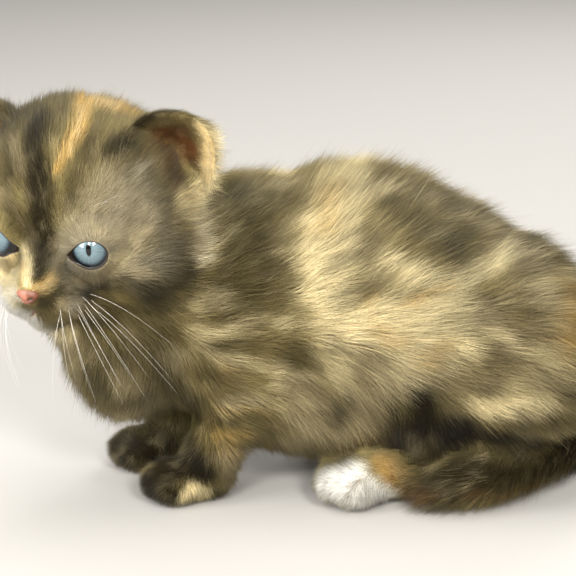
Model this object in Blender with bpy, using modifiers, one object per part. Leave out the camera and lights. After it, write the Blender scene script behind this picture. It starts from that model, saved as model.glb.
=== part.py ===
# Munchkin kitten, a life-size still model: crouched on short legs, head turned left, tail curled forward.
# Units are metres, +Z is up, the kitten faces -X and its own left side faces -Y.
import math

import bmesh
import bpy
import numpy as np
from mathutils import Matrix, Vector
from mathutils.bvhtree import BVHTree

# Driving dimensions of the kitten, to the tips of its coat
back_height = 0.0925  # floor to the top of the arched back
trunk_width = 0.075  # across the belly
head_width = 0.068  # across the cheeks
eye_radius = 0.0076
eye_spread = 0.0116  # from the middle of the head to the middle of an eye
lid_half_width = 0.0053  # of the opening between the lids
lid_half_height = 0.0042
ear_wall = 0.0030
leg_radius = 0.0098
toe_radius = 0.0046
tail_radius = 0.0108
floor_bite = 0.0011  # how far what lies on the floor is pressed flat by it

# How the head is carried: turned to the left, bowed and tipped a little
head_place = Vector((-0.0586, -0.0170, 0.0797))
head_turn = math.radians(65.5)
head_bow = math.radians(15.0)
head_tip = math.radians(1.5)

# Making
gap = 0.0003  # between nodes that meet face to face
trunk_voxel = 0.0020
fine_voxel = 0.0011
body_triangles = 6800
tail_triangles = 760
parting_sides = 16  # round regions that part the nodes


def mm(x, y, z):
    return Vector((x, y, z)) * 0.001


# Where the feet stand: the near forefoot is the left one
near_wrist = mm(-24, -19.5, 14)
near_toes = mm(-36, -21.5, 5.6)
far_wrist = mm(-35, 7.5, 14)
far_toes = mm(-47, 5.5, 5.6)


def hock(side):
    return mm(50, 13 * side, 9.0)


def hind_toes(side):
    return mm(12.5, 25 * side, 6.0)


def head_frame():
    """The head's own axes: x out of the face, y to the kitten's left, z out of the crown."""
    face = Vector((
        -math.cos(head_turn) * math.cos(head_bow),
        -math.sin(head_turn) * math.cos(head_bow),
        -math.sin(head_bow),
    ))
    level_left = Vector((0, 0, 1)).cross(face).normalized()
    left = Matrix.Rotation(-head_tip, 3, face) @ level_left
    crown = face.cross(left)
    axes = Matrix((face, left, crown)).transposed()
    return Matrix.Translation(head_place) @ axes.to_4x4()


def link(name, mesh, collection):
    obj = bpy.data.objects.new(name, mesh)
    collection.objects.link(obj)
    return obj


def mesh_object(name, bm, collection):
    mesh = bpy.data.meshes.new(name)
    bm.to_mesh(mesh)
    bm.free()
    return link(name, mesh, collection)


def applied(obj):
    """Bakes an object's modifiers into its mesh."""
    graph = bpy.context.evaluated_depsgraph_get()
    mesh = bpy.data.meshes.new_from_object(obj.evaluated_get(graph), depsgraph=graph)
    obj.modifiers.clear()
    obj.data = mesh
    return obj


def ellipsoid(centre, radii, turn=None, frame=None, segments=32):
    """A closed ellipsoid in the forms collection; frame places it in a part's own axes."""
    bm = bmesh.new()
    bmesh.ops.create_uvsphere(bm, u_segments=segments, v_segments=segments // 2, radius=1)
    place = Matrix.Translation(centre)
    if turn is not None:
        place = place @ turn.to_4x4()
    place = place @ Matrix.Diagonal(Vector((*radii, 1)))
    if frame is not None:
        place = frame @ place
    bm.transform(place)
    return mesh_object("form", bm, forms)


def limb(stations, frame=None, samples=8):
    """A round limb through (centre, radius) stations: beads close enough to fuse into one tube."""
    centres = np.array([tuple(c) for c, _ in stations])
    radii = np.array([r for _, r in stations])
    knots = np.arange(len(stations))
    beads = []
    for t in np.linspace(0, len(stations) - 1, samples * (len(stations) - 1) + 1):
        centre = Vector([smooth_between(knots, centres[:, k], t) for k in range(3)])
        radius = smooth_between(knots, radii, t)
        beads.append(ellipsoid(centre, (radius,) * 3, frame=frame, segments=20))
    return beads


def smooth_between(knots, values, t):
    """Catmull-Rom reading of a list of values at t."""
    i = int(min(max(math.floor(t), 0), len(knots) - 2))
    s = t - i
    a = values[max(i - 1, 0)]
    b = values[i]
    c = values[i + 1]
    d = values[min(i + 2, len(values) - 1)]
    return 0.5 * (2 * b + (c - a) * s + (2 * a - 5 * b + 4 * c - d) * s**2 + (3 * b - a - 3 * c + d) * s**3)


def fused(name, pieces, voxel, smoothing):
    """Joins overlapping closed forms into one skin and eases the creases between them."""
    bm = bmesh.new()
    for piece in pieces:
        bm.from_mesh(piece.data)
        bpy.data.objects.remove(piece)
    whole = mesh_object(name, bm, forms)
    remesh = whole.modifiers.new("one skin", "REMESH")
    remesh.mode = "VOXEL"
    remesh.voxel_size = voxel
    smooth = whole.modifiers.new("eased", "SMOOTH")
    smooth.factor = 0.5
    smooth.iterations = smoothing
    return applied(whole)


def boolean(target, other, operation):
    cut = target.modifiers.new(operation.lower(), "BOOLEAN")
    cut.operation = operation
    cut.object = other
    cut.solver = "EXACT"
    return applied(target)


def copy_of(obj):
    twin = obj.copy()
    twin.data = obj.data.copy()
    forms.objects.link(twin)
    return twin


def grown(obj, by):
    """A copy with every point moved out along its normal."""
    twin = copy_of(obj)
    bm = bmesh.new()
    bm.from_mesh(twin.data)
    bm.normal_update()
    for vertex in bm.verts:
        vertex.co += vertex.normal * by
    bm.to_mesh(twin.data)
    bm.free()
    return twin


def part_off(whole, region, name):
    """Cuts the piece of the whole inside a region into its own node, and leaves a thin gap round it."""
    piece = boolean(copy_of(whole), region, "INTERSECT")
    wider = grown(region, gap)
    boolean(whole, wider, "DIFFERENCE")
    bpy.data.objects.remove(wider)
    bpy.data.objects.remove(region)
    keep_largest(piece)
    keep_largest(whole)
    return as_node(piece, name)


def keep_largest(obj):
    """Drops all but the largest closed surface."""
    bm = bmesh.new()
    bm.from_mesh(obj.data)
    unseen = set(bm.verts)
    shells = []
    while unseen:
        stack = [unseen.pop()]
        shell = [stack[0]]
        while stack:
            for edge in stack.pop().link_edges:
                for vertex in edge.verts:
                    if vertex in unseen:
                        unseen.remove(vertex)
                        stack.append(vertex)
                        shell.append(vertex)
        shells.append(shell)
    largest = max(shells, key=len)
    loose = [v for shell in shells if shell is not largest for v in shell]
    bmesh.ops.delete(bm, geom=loose, context="VERTS")
    bm.to_mesh(obj.data)
    bm.free()


def as_node(obj, name):
    obj.name = name
    obj.data.name = name
    forms.objects.unlink(obj)
    kitten.objects.link(obj)
    return obj


def region_box(low, high, frame=None):
    """A closed box between two corners, for parting."""
    bm = bmesh.new()
    bmesh.ops.create_cube(bm, size=1)
    size = high - low
    place = Matrix.Translation((low + high) / 2) @ Matrix.Diagonal(Vector((*size, 1)))
    bm.transform(place if frame is None else frame @ place)
    return mesh_object("region", bm, forms)


def facing_frame(origin, direction, upward=Vector((0, 0, 1))):
    """A frame at origin whose z axis runs along direction."""
    z = direction.normalized()
    x = upward.cross(z).normalized()
    y = z.cross(x)
    return Matrix.Translation(origin) @ Matrix((x, y, z)).transposed().to_4x4()


# Trunk, neck and haunches
def trunk_forms():
    half_width = trunk_width / 2
    back = mm(14, 0, 50)
    pieces = [
        ellipsoid(back, (0.045, half_width, back_height - back.z)),
        ellipsoid(mm(2, 0, 36), mm(40, 33, 28.5)),  # belly
        ellipsoid(mm(-15, -1, 54), mm(37, 31, 35)),  # rib cage
        ellipsoid(mm(-47, -8, 45), mm(21, 22, 26)),  # breast
        ellipsoid(mm(-38, -7, 66), mm(24, 25, 24)),  # neck
        ellipsoid(mm(-52, -15, 55), mm(20, 17, 21)),  # throat
        ellipsoid(mm(30, 0, 58), mm(34, 27, 27)),  # loin
        ellipsoid(mm(50, 0, 41), mm(36, 33, 33)),  # rump
    ]
    for side in (-1, 1):
        pieces.append(ellipsoid(mm(58, 20 * side, 39), mm(28, 16, 24)))  # thigh
        pieces.append(ellipsoid(mm(-23, 17 * side, 45), mm(19, 13, 24)))  # shoulder
    return pieces


# Head, in its own axes
def head_forms(frame):
    half = head_width / 2
    pieces = [
        ellipsoid(mm(-3, 0, 6), mm(26, 28, 28), frame=frame),  # skull
        ellipsoid(mm(-2, 0, 0), (0.024, half - 0.001, 0.022), frame=frame),  # temples
        ellipsoid(mm(3, 0, 6), mm(20, 23, 20), frame=frame),  # forehead
        ellipsoid(mm(6, 0, -15), mm(17, 17, 12), frame=frame),  # jaw
        ellipsoid(mm(23, 0, -17.0), mm(7.5, 6.8, 5.4), frame=frame),  # chin
    ]
    for side in (-1, 1):
        pieces.append(ellipsoid(mm(-1, 18 * side, -7), (0.021, half - 0.0185, 0.0165), frame=frame))
        pieces.append(ellipsoid(mm(24.0, 5.6 * side, -11.5), mm(8.2, 7.2, 6.4), frame=frame))
    bridge = [(mm(10, 0, 1), 0.0085), (mm(21, 0, -2.5), 0.0066), (mm(30.0, 0, -6.0), 0.0046)]
    return pieces + limb(bridge, frame, 5)


def nose_form(frame):
    """The leather of the nose, a rounded wedge wider at its top."""
    top = ellipsoid(mm(31.8, 0, -6.9), mm(2.8, 3.8, 2.0), frame=frame, segments=20)
    base = ellipsoid(mm(31.6, 0, -9.0), mm(2.5, 2.0, 2.4), frame=frame, segments=20)
    return [top, base]


def eye_centre(side):
    return Vector((0.0149, eye_spread * side, 0.0006))


def eye_axis(side):
    return Vector((math.cos(math.radians(20)), side * math.sin(math.radians(20)), 0.05)).normalized()


def lid_form(side, frame):
    """The lids, a bulge just larger than the eye that the opening is then cut through."""
    bulge = eye_radius + 0.0016
    centre = eye_centre(side) - eye_axis(side) * 0.0010
    return ellipsoid(centre, (bulge, bulge * 1.06, bulge * 0.98), frame=frame)


def ear_corners(side):
    """Front and rear ends of an ear's slanting root, and the point its middle rises to."""
    return mm(3.5, 15.5 * side, 26.5), mm(-8, 32 * side, 3), mm(-5, 37.0 * side, 29.8)


def ear_axes(side):
    """Middle of the root, then the cup's axes: out of its mouth, along its root, off the skull."""
    front, rear, tip = ear_corners(side)
    along = (rear - front).normalized()
    mouth = along.cross(tip - (front + rear) / 2).normalized()
    if mouth.x < 0:
        mouth = -mouth
    away = mouth.cross(along)
    if away.z < 0:
        away = -away
        along = -along
    return (front + rear) / 2, mouth, along, away


def ear(side, frame):
    """A cupped leaf from a slanting root to a rounded tip, its middle set back from the mouth of the cup."""
    front, rear, tip = ear_corners(side)
    root, mouth, _, _ = ear_axes(side)
    half = (rear - front) / 2
    rise = tip - root
    rows, columns = 15, 15
    bm = bmesh.new()
    grid = []
    for i in range(rows):
        up = -0.35 + 1.335 * i / (rows - 1)
        arch = max(1 - max(up, 0) ** 2.1, 0.02) ** 0.55
        depth = 0.0105 * (1 - 0.75 * max(up, 0)) * max(arch, 0.3)
        row = []
        for j in range(columns):
            across = 2 * j / (columns - 1) - 1
            point = root + rise * up + half * (across * arch) - mouth * depth * (1 - across**2)
            row.append(bm.verts.new(point))
        grid.append(row)
    for i in range(rows - 1):
        for j in range(columns - 1):
            bm.faces.new((grid[i][j], grid[i][j + 1], grid[i + 1][j + 1], grid[i + 1][j]))
    leaf = mesh_object("ear leaf", bm, forms)
    thick = leaf.modifiers.new("wall", "SOLIDIFY")
    thick.thickness = ear_wall
    thick.offset = 0
    applied(leaf)
    leaf.data.transform(frame)
    return leaf


def ear_region(side, frame):
    """A box over the ear, standing just clear of the skull."""
    root, mouth, along, away = ear_axes(side)
    axes = Matrix((mouth, along, away)).transposed().to_4x4()
    return region_box(mm(-15, -22, 4.8), mm(12, 22, 50), frame @ Matrix.Translation(root) @ axes)


# Legs
def paw(ankle, toes, spread, length, toe_size=1.0):
    """A foot from ankle to the middle of its toes, with four rounded toes fanned across it."""
    forward = (toes - ankle)
    forward.z = 0
    forward.normalize()
    across = Vector((-forward.y, forward.x, 0))
    turn = Matrix((forward, across, Vector((0, 0, 1)))).transposed()
    pad = (ankle + toes) / 2
    pad.z = toes.z + 0.0006
    pieces = [ellipsoid(pad, (length / 2, spread * 0.98, 0.0072 * toe_size), turn=turn)]
    for k, reach in zip((-1.5, -0.5, 0.5, 1.5), (-0.0016, 0.0014, 0.0014, -0.0016)):
        centre = toes + across * (spread * 0.52 * k) + forward * reach
        fan = Matrix.Rotation(0.16 * k, 3, "Z") @ turn
        size = toe_radius * toe_size
        pieces.append(ellipsoid(centre, (size * 1.65, size * 0.93, size * 1.22), turn=fan, segments=24))
    return pieces


def foreleg_forms(shoulder, wrist, toes):
    elbow = (shoulder + wrist) / 2 + mm(4, 0, 2)
    pieces = limb([
        (shoulder, leg_radius * 1.30),
        (elbow, leg_radius * 1.12),
        (wrist, leg_radius * 0.92),
    ])
    return pieces + paw(wrist, toes, 0.0084, 0.027)


def hindleg_forms(side, hock, toes):
    knee = mm(34, 23 * side, 27)
    shank = [ellipsoid(knee, mm(14, 10.5, 15))]
    instep = (hock + toes) / 2 + mm(0, 0, 2.5)
    foot = limb([(hock, 0.0094), (instep, 0.0088), (toes + mm(4, 0, 1), 0.0075)])
    return shank + foot + paw(hock, toes, 0.0086, 0.034, 1.06)


def tail_stations():
    lying = tail_radius - floor_bite
    return [
        (mm(80, 1, 40), tail_radius * 0.92),
        (mm(94, 5, 34), tail_radius * 0.95),
        (mm(101, 9, 22), tail_radius * 0.97),
        (mm(93, 9, 12), tail_radius),
        (mm(79, 4, 0) + Vector((0, 0, lying)), tail_radius),
        (mm(65, -11, 0) + Vector((0, 0, lying)), tail_radius),
        (mm(53, -24, 0) + Vector((0, 0, lying * 0.97)), tail_radius * 0.97),
        (mm(43, -30, 0) + Vector((0, 0, lying * 0.82)), tail_radius * 0.82),
        (mm(36, -32, 0) + Vector((0, 0, lying * 0.52)), tail_radius * 0.50),
    ]


def lens_cutter(side, frame):
    """The opening between the lids: a lens with its inner corner drawn towards the nose."""
    corner = 0.0016  # how far the inner corner is drawn out
    steps = 24
    bm = bmesh.new()
    ring = []
    for k in range(steps):
        angle = 2 * math.pi * k / steps
        pull = corner * max(-math.cos(angle), 0) ** 6
        across = lid_half_width * math.cos(angle) - pull
        up = lid_half_height * math.sin(angle) - pull * 0.45
        ring.append(bm.verts.new((across * side, up, 0)))
    bottom = bm.faces.new(ring)
    top = bmesh.ops.extrude_face_region(bm, geom=[bottom])
    lifted = [v for v in top["geom"] if isinstance(v, bmesh.types.BMVert)]
    bmesh.ops.translate(bm, verts=lifted, vec=(0, 0, 0.014))
    bmesh.ops.recalc_face_normals(bm, faces=bm.faces)
    bm.transform(frame @ facing_frame(eye_centre(side), eye_axis(side)))
    return mesh_object("lens", bm, forms)


def tube_along(points, radius):
    """A closed round bar through points, as a mesh, for cutting a groove."""
    curve = bpy.data.curves.new("groove", "CURVE")
    curve.dimensions = "3D"
    curve.bevel_depth = radius
    curve.bevel_resolution = 1
    curve.use_fill_caps = True
    spline = curve.splines.new("POLY")
    spline.points.add(len(points) - 1)
    for knot, point in zip(spline.points, points):
        knot.co = (*point, 1)
    bar = link("groove", curve, forms)
    graph = bpy.context.evaluated_depsgraph_get()
    mesh = bpy.data.meshes.new_from_object(bar.evaluated_get(graph))
    bpy.data.objects.remove(bar)
    bm = bmesh.new()
    bm.from_mesh(mesh)
    bmesh.ops.remove_doubles(bm, verts=bm.verts, dist=1e-6)
    bmesh.ops.recalc_face_normals(bm, faces=bm.faces)
    return mesh_object("groove", bm, forms)


def on_surface(obj, points, frame, inwards):
    """Points in the head's own axes, laid on the surface along lines to the middle of the jaw."""
    bm = bmesh.new()
    bm.from_mesh(obj.data)
    tree = BVHTree.FromBMesh(bm)
    aim = frame @ mm(10, 0, -10)
    laid = []
    for point in points:
        start = frame @ point
        hit, normal, _, _ = tree.ray_cast(start, (aim - start).normalized())
        if hit is not None:
            laid.append(hit - normal * inwards)
    bm.free()
    return laid


def cut_mouth(head, frame):
    """The line of the mouth: a groove from under the nose, parting below each whisker pad."""
    for side in (-1, 1):
        route = [
            mm(40, 0.2 * side, -12.0), mm(40, 0.3 * side, -15.0), mm(38, 3.2 * side, -18.0),
            mm(35, 7.5 * side, -19.5), mm(29, 12.5 * side, -18.5), mm(24, 16.5 * side, -16.5),
        ]
        dense = [route[0]]
        for a, b in zip(route, route[1:]):
            dense += [a.lerp(b, 0.5), b]
        groove = tube_along(on_surface(head, dense, frame, 0.0002), 0.00055)
        boolean(head, groove, "DIFFERENCE")
        bpy.data.objects.remove(groove)


def finish(obj, colour, roughness):
    """Gives a node its own plain material and smooth shading."""
    shade = bpy.data.materials.new(obj.name + " finish")
    shade.use_nodes = True
    principled = shade.node_tree.nodes["Principled BSDF"]
    principled.inputs["Base Color"].default_value = (*colour, 1)
    principled.inputs["Roughness"].default_value = roughness
    principled.inputs["Metallic"].default_value = 0
    obj.data.materials.clear()
    obj.data.materials.append(shade)
    obj.data.shade_smooth()


def finish_all():
    coat_roughness = 0.75
    olive_brown = (0.115, 0.082, 0.040)
    dark_brown = (0.050, 0.036, 0.018)
    gold_cream = (0.520, 0.370, 0.170)
    white = (0.830, 0.800, 0.760)
    colours = {
        "forepaw_left": dark_brown, "forepaw_right": dark_brown, "tail_root": dark_brown,
        "tail_middle": dark_brown, "tail_tip": dark_brown, "thigh_left": gold_cream,
        "thigh_right": gold_cream, "hindfoot_left": white, "hindfoot_right": white,
    }
    for obj in kitten.objects:
        if obj.name.startswith("eye"):
            finish(obj, (0.330, 0.480, 0.620), 0.05)
        elif obj.name == "nose":
            finish(obj, (0.560, 0.270, 0.210), 0.45)
        else:
            finish(obj, colours.get(obj.name, olive_brown), coat_roughness)


def thinned(obj, triangles):
    """Brings an object down to a number of triangles."""
    slim = obj.modifiers.new("fewer faces", "DECIMATE")
    slim.ratio = triangles / (2 * len(obj.data.polygons))
    return applied(obj)


def cut_at_floor(obj):
    floor = region_box(mm(-300, -300, -60), mm(300, 300, 0))
    boolean(obj, floor, "DIFFERENCE")
    bpy.data.objects.remove(floor)


def build_body(frame):
    """Trunk, head, ears and legs as one skin, with small flats where the feet meet the floor."""
    trunk = fused("trunk", trunk_forms(), trunk_voxel, 14)
    skull = fused("skull", head_forms(frame), fine_voxel, 8)
    features = nose_form(frame)
    for side in (-1, 1):
        features += [lid_form(side, frame), ear(side, frame)]
    legs = foreleg_forms(mm(-23, -18, 36), near_wrist, near_toes)
    legs += foreleg_forms(mm(-28, 10, 36), far_wrist, far_toes)
    for side in (-1, 1):
        legs += hindleg_forms(side, hock(side), hind_toes(side))
    whole = fused("whole", [trunk, skull] + features + legs, fine_voxel, 4)
    thinned(whole, body_triangles)
    cut_at_floor(whole)
    return whole


def build_tail():
    tail = fused("tail", limb(tail_stations()), fine_voxel, 3)
    thinned(tail, tail_triangles)
    cut_at_floor(tail)
    return tail


def sleeve(stations):
    """A wider tube round a limb, for parting it off."""
    tube = fused("sleeve", limb(stations), 0.0022, 2)
    thinned(tube, 260)
    return tube


def tail_cut(station, onward):
    return region_box(mm(-16, -16, 0), mm(16, 16, 75), facing_frame(station, onward))


def build():
    frame = head_frame()
    whole = build_body(frame)
    tail = build_tail()

    # the tail starts at the rump's skin, and the body gives way to it where the two lie together
    rump = boolean(copy_of(whole), region_box(mm(40, -60, 24), mm(140, 60, 90)), "INTERSECT")
    boolean(tail, grown(rump, gap), "DIFFERENCE")
    keep_largest(tail)
    clearance = grown(tail, gap)
    boolean(whole, clearance, "DIFFERENCE")
    bpy.data.objects.remove(clearance)
    keep_largest(whole)

    # eyes
    for side, label in ((1, "left"), (-1, "right")):
        socket = ellipsoid(eye_centre(side), (eye_radius + gap,) * 3, frame=frame, segments=24)
        opening = lens_cutter(side, frame)
        boolean(whole, opening, "DIFFERENCE")
        boolean(whole, socket, "DIFFERENCE")
        bpy.data.objects.remove(socket)
        bpy.data.objects.remove(opening)
        look = facing_frame(eye_centre(side), eye_axis(side))
        ball = ellipsoid(Vector((0, 0, 0)), (eye_radius,) * 3, frame=frame @ look, segments=20)
        as_node(ball, "eye_" + label)
    cut_mouth(whole, frame)

    # head
    for side, label in ((1, "left"), (-1, "right")):
        part_off(whole, ear_region(side, frame), "ear_" + label)
    leather = ellipsoid(mm(34.2, 0, -7.9), mm(3.9, 4.3, 3.5), frame=frame, segments=parting_sides)
    nose = part_off(whole, leather, "nose")
    for side in (-1, 1):
        nostril = ellipsoid(mm(34.0, 2.0 * side, -8.2), mm(1.7, 0.95, 0.75), frame=frame, segments=12)
        boolean(nose, nostril, "DIFFERENCE")
        bpy.data.objects.remove(nostril)
    part_off(whole, ellipsoid(mm(3, 0, 1), mm(36, 38, 34), frame=frame, segments=parting_sides), "head")

    # legs, near side and far side
    for label, shoulder, wrist, toes in (
        ("left", mm(-22, -19, 30), near_wrist, near_toes),
        ("right", mm(-29, 10, 30), far_wrist, far_toes),
    ):
        paw_box = region_box(toes + mm(-16, -14, -9), toes + mm(19, 14, 5.5))
        part_off(whole, paw_box, "forepaw_" + label)
        region = sleeve([(shoulder, 0.0145), (wrist, 0.0140), (wrist - mm(0, 0, 8), 0.0140)])
        part_off(whole, region, "foreleg_" + label)
    for side, label in ((-1, "left"), (1, "right")):
        heel = hock(side) + mm(3, 0, 0)
        instep = hind_toes(side) + mm(10, 0, 1)
        toe_end = hind_toes(side) + mm(-1, 0, 1)
        region = sleeve([(heel, 0.0112), (instep, 0.0108), (toe_end, 0.0130)])
        part_off(whole, region, "hindfoot_" + label)
        haunch = ellipsoid(mm(57, 27 * side, 38), mm(30, 18, 27), segments=parting_sides)
        part_off(whole, haunch, "thigh_" + label)
    # what is left of the feet's inner sides under the belly
    scraps = region_box(mm(-14, -24, -1), mm(60, 24, 7.2))
    boolean(whole, scraps, "DIFFERENCE")
    bpy.data.objects.remove(scraps)
    keep_largest(whole)

    # neck, and the tail in three lengths
    collar = Matrix.Translation(mm(-33, 0, 58)) @ Matrix.Rotation(math.radians(-48), 4, "Y")
    part_off(whole, region_box(mm(-60, -70, 0), mm(60, 70, 80), collar), "neck")
    as_node(whole, "torso")
    part_off(tail, tail_cut(mm(60, -16.5, 11), Vector((-0.68, -0.73, 0))), "tail_tip")
    part_off(tail, tail_cut(mm(100.5, 9.5, 19), Vector((-0.1, -0.25, 0.95))), "tail_root")
    as_node(tail, "tail_middle")


def stand_at_origin():
    """Moves the model so that the middle of its box, on the floor, is the origin."""
    corners = [vertex.co for obj in kitten.objects for vertex in obj.data.vertices]
    low = Vector([min(c[k] for c in corners) for k in range(3)])
    high = Vector([max(c[k] for c in corners) for k in range(3)])
    middle = (low + high) / 2
    shift = Matrix.Translation((-middle.x, -middle.y, -low.z))
    for obj in kitten.objects:
        obj.data.transform(shift)


for stale in list(bpy.data.objects):
    bpy.data.objects.remove(stale)
kitten = bpy.data.collections.new("munchkin kitten")
forms = bpy.data.collections.new("forms")
bpy.context.scene.collection.children.link(kitten)
bpy.context.scene.collection.children.link(forms)
build()
stand_at_origin()
finish_all()
for leftover in list(forms.objects):
    bpy.data.objects.remove(leftover)
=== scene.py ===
# Munchkin kitten: skin, coat, eyes, nose and whiskers of a life-size still model.
# The kitten faces -X, its left side faces the camera, +Z is up. Sizes in the dictionaries are millimetres.
import itertools
import math

import bmesh
import bpy
import numpy as np
from mathutils import Matrix, Vector
from mathutils.bvhtree import BVHTree


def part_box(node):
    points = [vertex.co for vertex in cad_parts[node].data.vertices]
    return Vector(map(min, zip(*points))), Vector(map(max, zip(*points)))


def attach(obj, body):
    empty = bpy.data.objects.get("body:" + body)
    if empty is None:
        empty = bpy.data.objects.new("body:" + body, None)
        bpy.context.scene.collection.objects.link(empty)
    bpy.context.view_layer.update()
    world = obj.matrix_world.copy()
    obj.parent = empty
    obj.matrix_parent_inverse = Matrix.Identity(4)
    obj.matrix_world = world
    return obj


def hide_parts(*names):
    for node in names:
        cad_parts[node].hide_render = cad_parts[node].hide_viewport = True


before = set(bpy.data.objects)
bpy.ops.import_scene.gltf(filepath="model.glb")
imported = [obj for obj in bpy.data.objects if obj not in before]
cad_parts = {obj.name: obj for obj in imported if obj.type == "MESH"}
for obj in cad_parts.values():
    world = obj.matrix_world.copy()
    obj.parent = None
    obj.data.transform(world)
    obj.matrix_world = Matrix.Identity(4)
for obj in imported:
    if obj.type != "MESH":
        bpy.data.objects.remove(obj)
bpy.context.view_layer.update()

rng = np.random.default_rng(41)

# the camera, as the photograph saw the kitten, with its angles in degrees
photoView = {"target": (-12.4, 4.8, 54.8), "distance": 600.0, "elevation": 15.0, "angle": 15.3}

# how the head is carried; the eyes' places give the rest
headCarriage = {"turn": 65.5, "bow": 15.0, "tip": 1.5, "eyeForward": 14.9, "eyeUp": 0.6}


def setCamera():
    # it stands off its target by distance · (0, -cos, sin) of its elevation, and looks at the target
    camera = bpy.data.cameras.new("photoCamera")
    camera.angle = math.radians(photoView["angle"])
    stand = bpy.data.objects.new("photoCamera", camera)
    bpy.context.scene.collection.objects.link(stand)
    rise = math.radians(photoView["elevation"])
    away = Vector((0, -math.cos(rise), math.sin(rise))) * photoView["distance"]
    stand.location = (Vector(photoView["target"]) + away) * 0.001
    stand.rotation_euler = (math.radians(90) - rise, 0, 0)
    bpy.context.scene.camera = stand


# numbers and fields

def unit(vectors):
    # each divided by its length
    size = np.linalg.norm(vectors, axis=-1, keepdims=True)
    return vectors / np.maximum(size, 1e-12)


def easedStep(low, high, values):
    # 0 below low, 1 above high, 3t² - 2t³ between them
    t = np.clip((values - low) / (high - low), 0, 1)
    return t * t * (3 - 2 * t)


def cellRandom(cells, seed):
    # one repeatable number from 0 to 1 for each whole-number cell: the fraction of much · |sin(cell · spread
    # + seed · perSeed)|
    spread, perSeed, much = np.array((127.1, 311.7, 74.7)), 53.3, 43758.5453
    return np.modf(np.abs(np.sin(cells @ spread + seed * perSeed)) * much)[0]


def softNoise(points, size, seed):
    # the random numbers of the eight cells round a point, blended by 3t² - 2t³ along each side; -1 to 1
    scaled = points / size
    corner = np.floor(scaled)
    t = scaled - corner
    t = t * t * (3 - 2 * t)
    total = np.zeros(len(points))
    for step in itertools.product((0, 1), repeat=3):
        share = np.prod(np.where(np.array(step) == 1, t, 1 - t), axis=1)
        total += share * cellRandom(corner + np.array(step), seed)
    return total * 2 - 1


def nearestLock(points, size, seed):
    # each cell of the given size holds one lock at a random place; gives the nearest lock's place and number
    cell = np.floor(points / size)
    best = np.full(len(points), 1e9)
    place = np.zeros_like(points)
    number = np.zeros(len(points))
    for step in itertools.product((-1, 0, 1), repeat=3):
        near = cell + np.array(step)
        shift = np.stack([cellRandom(near, seed + k) for k in (1, 2, 3)], axis=1)
        lock = (near + shift) * size
        distance = ((lock - points) ** 2).sum(axis=1)
        closer = distance < best
        best[closer] = distance[closer]
        place[closer] = lock[closer]
        number[closer] = cellRandom(near, seed + 4)[closer]
    return place, number


# the head's own axes: x out of the face, y to the kitten's left, z out of the crown

def middleOf(node):
    # the middle of a node's box, in millimetres
    low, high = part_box(node)
    return np.array((low + high) / 2) * 1000


def findHeadAxes():
    # the face looks along (-cos turn · cos bow, -sin turn · cos bow, -sin bow), the head tips round that
    # line, and its middle lies behind and below the place between the eyes
    turn, bow, tip = (math.radians(headCarriage[key]) for key in ("turn", "bow", "tip"))
    face = Vector((-math.cos(turn) * math.cos(bow), -math.sin(turn) * math.cos(bow), -math.sin(bow)))
    left = Matrix.Rotation(-tip, 3, face) @ Vector((0, 0, 1)).cross(face).normalized()
    axes = np.array((face, left, face.cross(left)))
    between = (middleOf("eye_left") + middleOf("eye_right")) / 2
    middle = between - axes[0] * headCarriage["eyeForward"] - axes[2] * headCarriage["eyeUp"]
    return middle, axes


headMiddle, headTurned = findHeadAxes()


def toHead(points):
    # places in the model's axes as places in the head's
    return (points - headMiddle) @ headTurned.T


def fromHead(points):
    # the way back, for places
    return np.asarray(points, float) @ headTurned + headMiddle


def directionFromHead(direction):
    # the way back, for directions
    return np.asarray(direction, float) @ headTurned


# the lie of the coat

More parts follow.
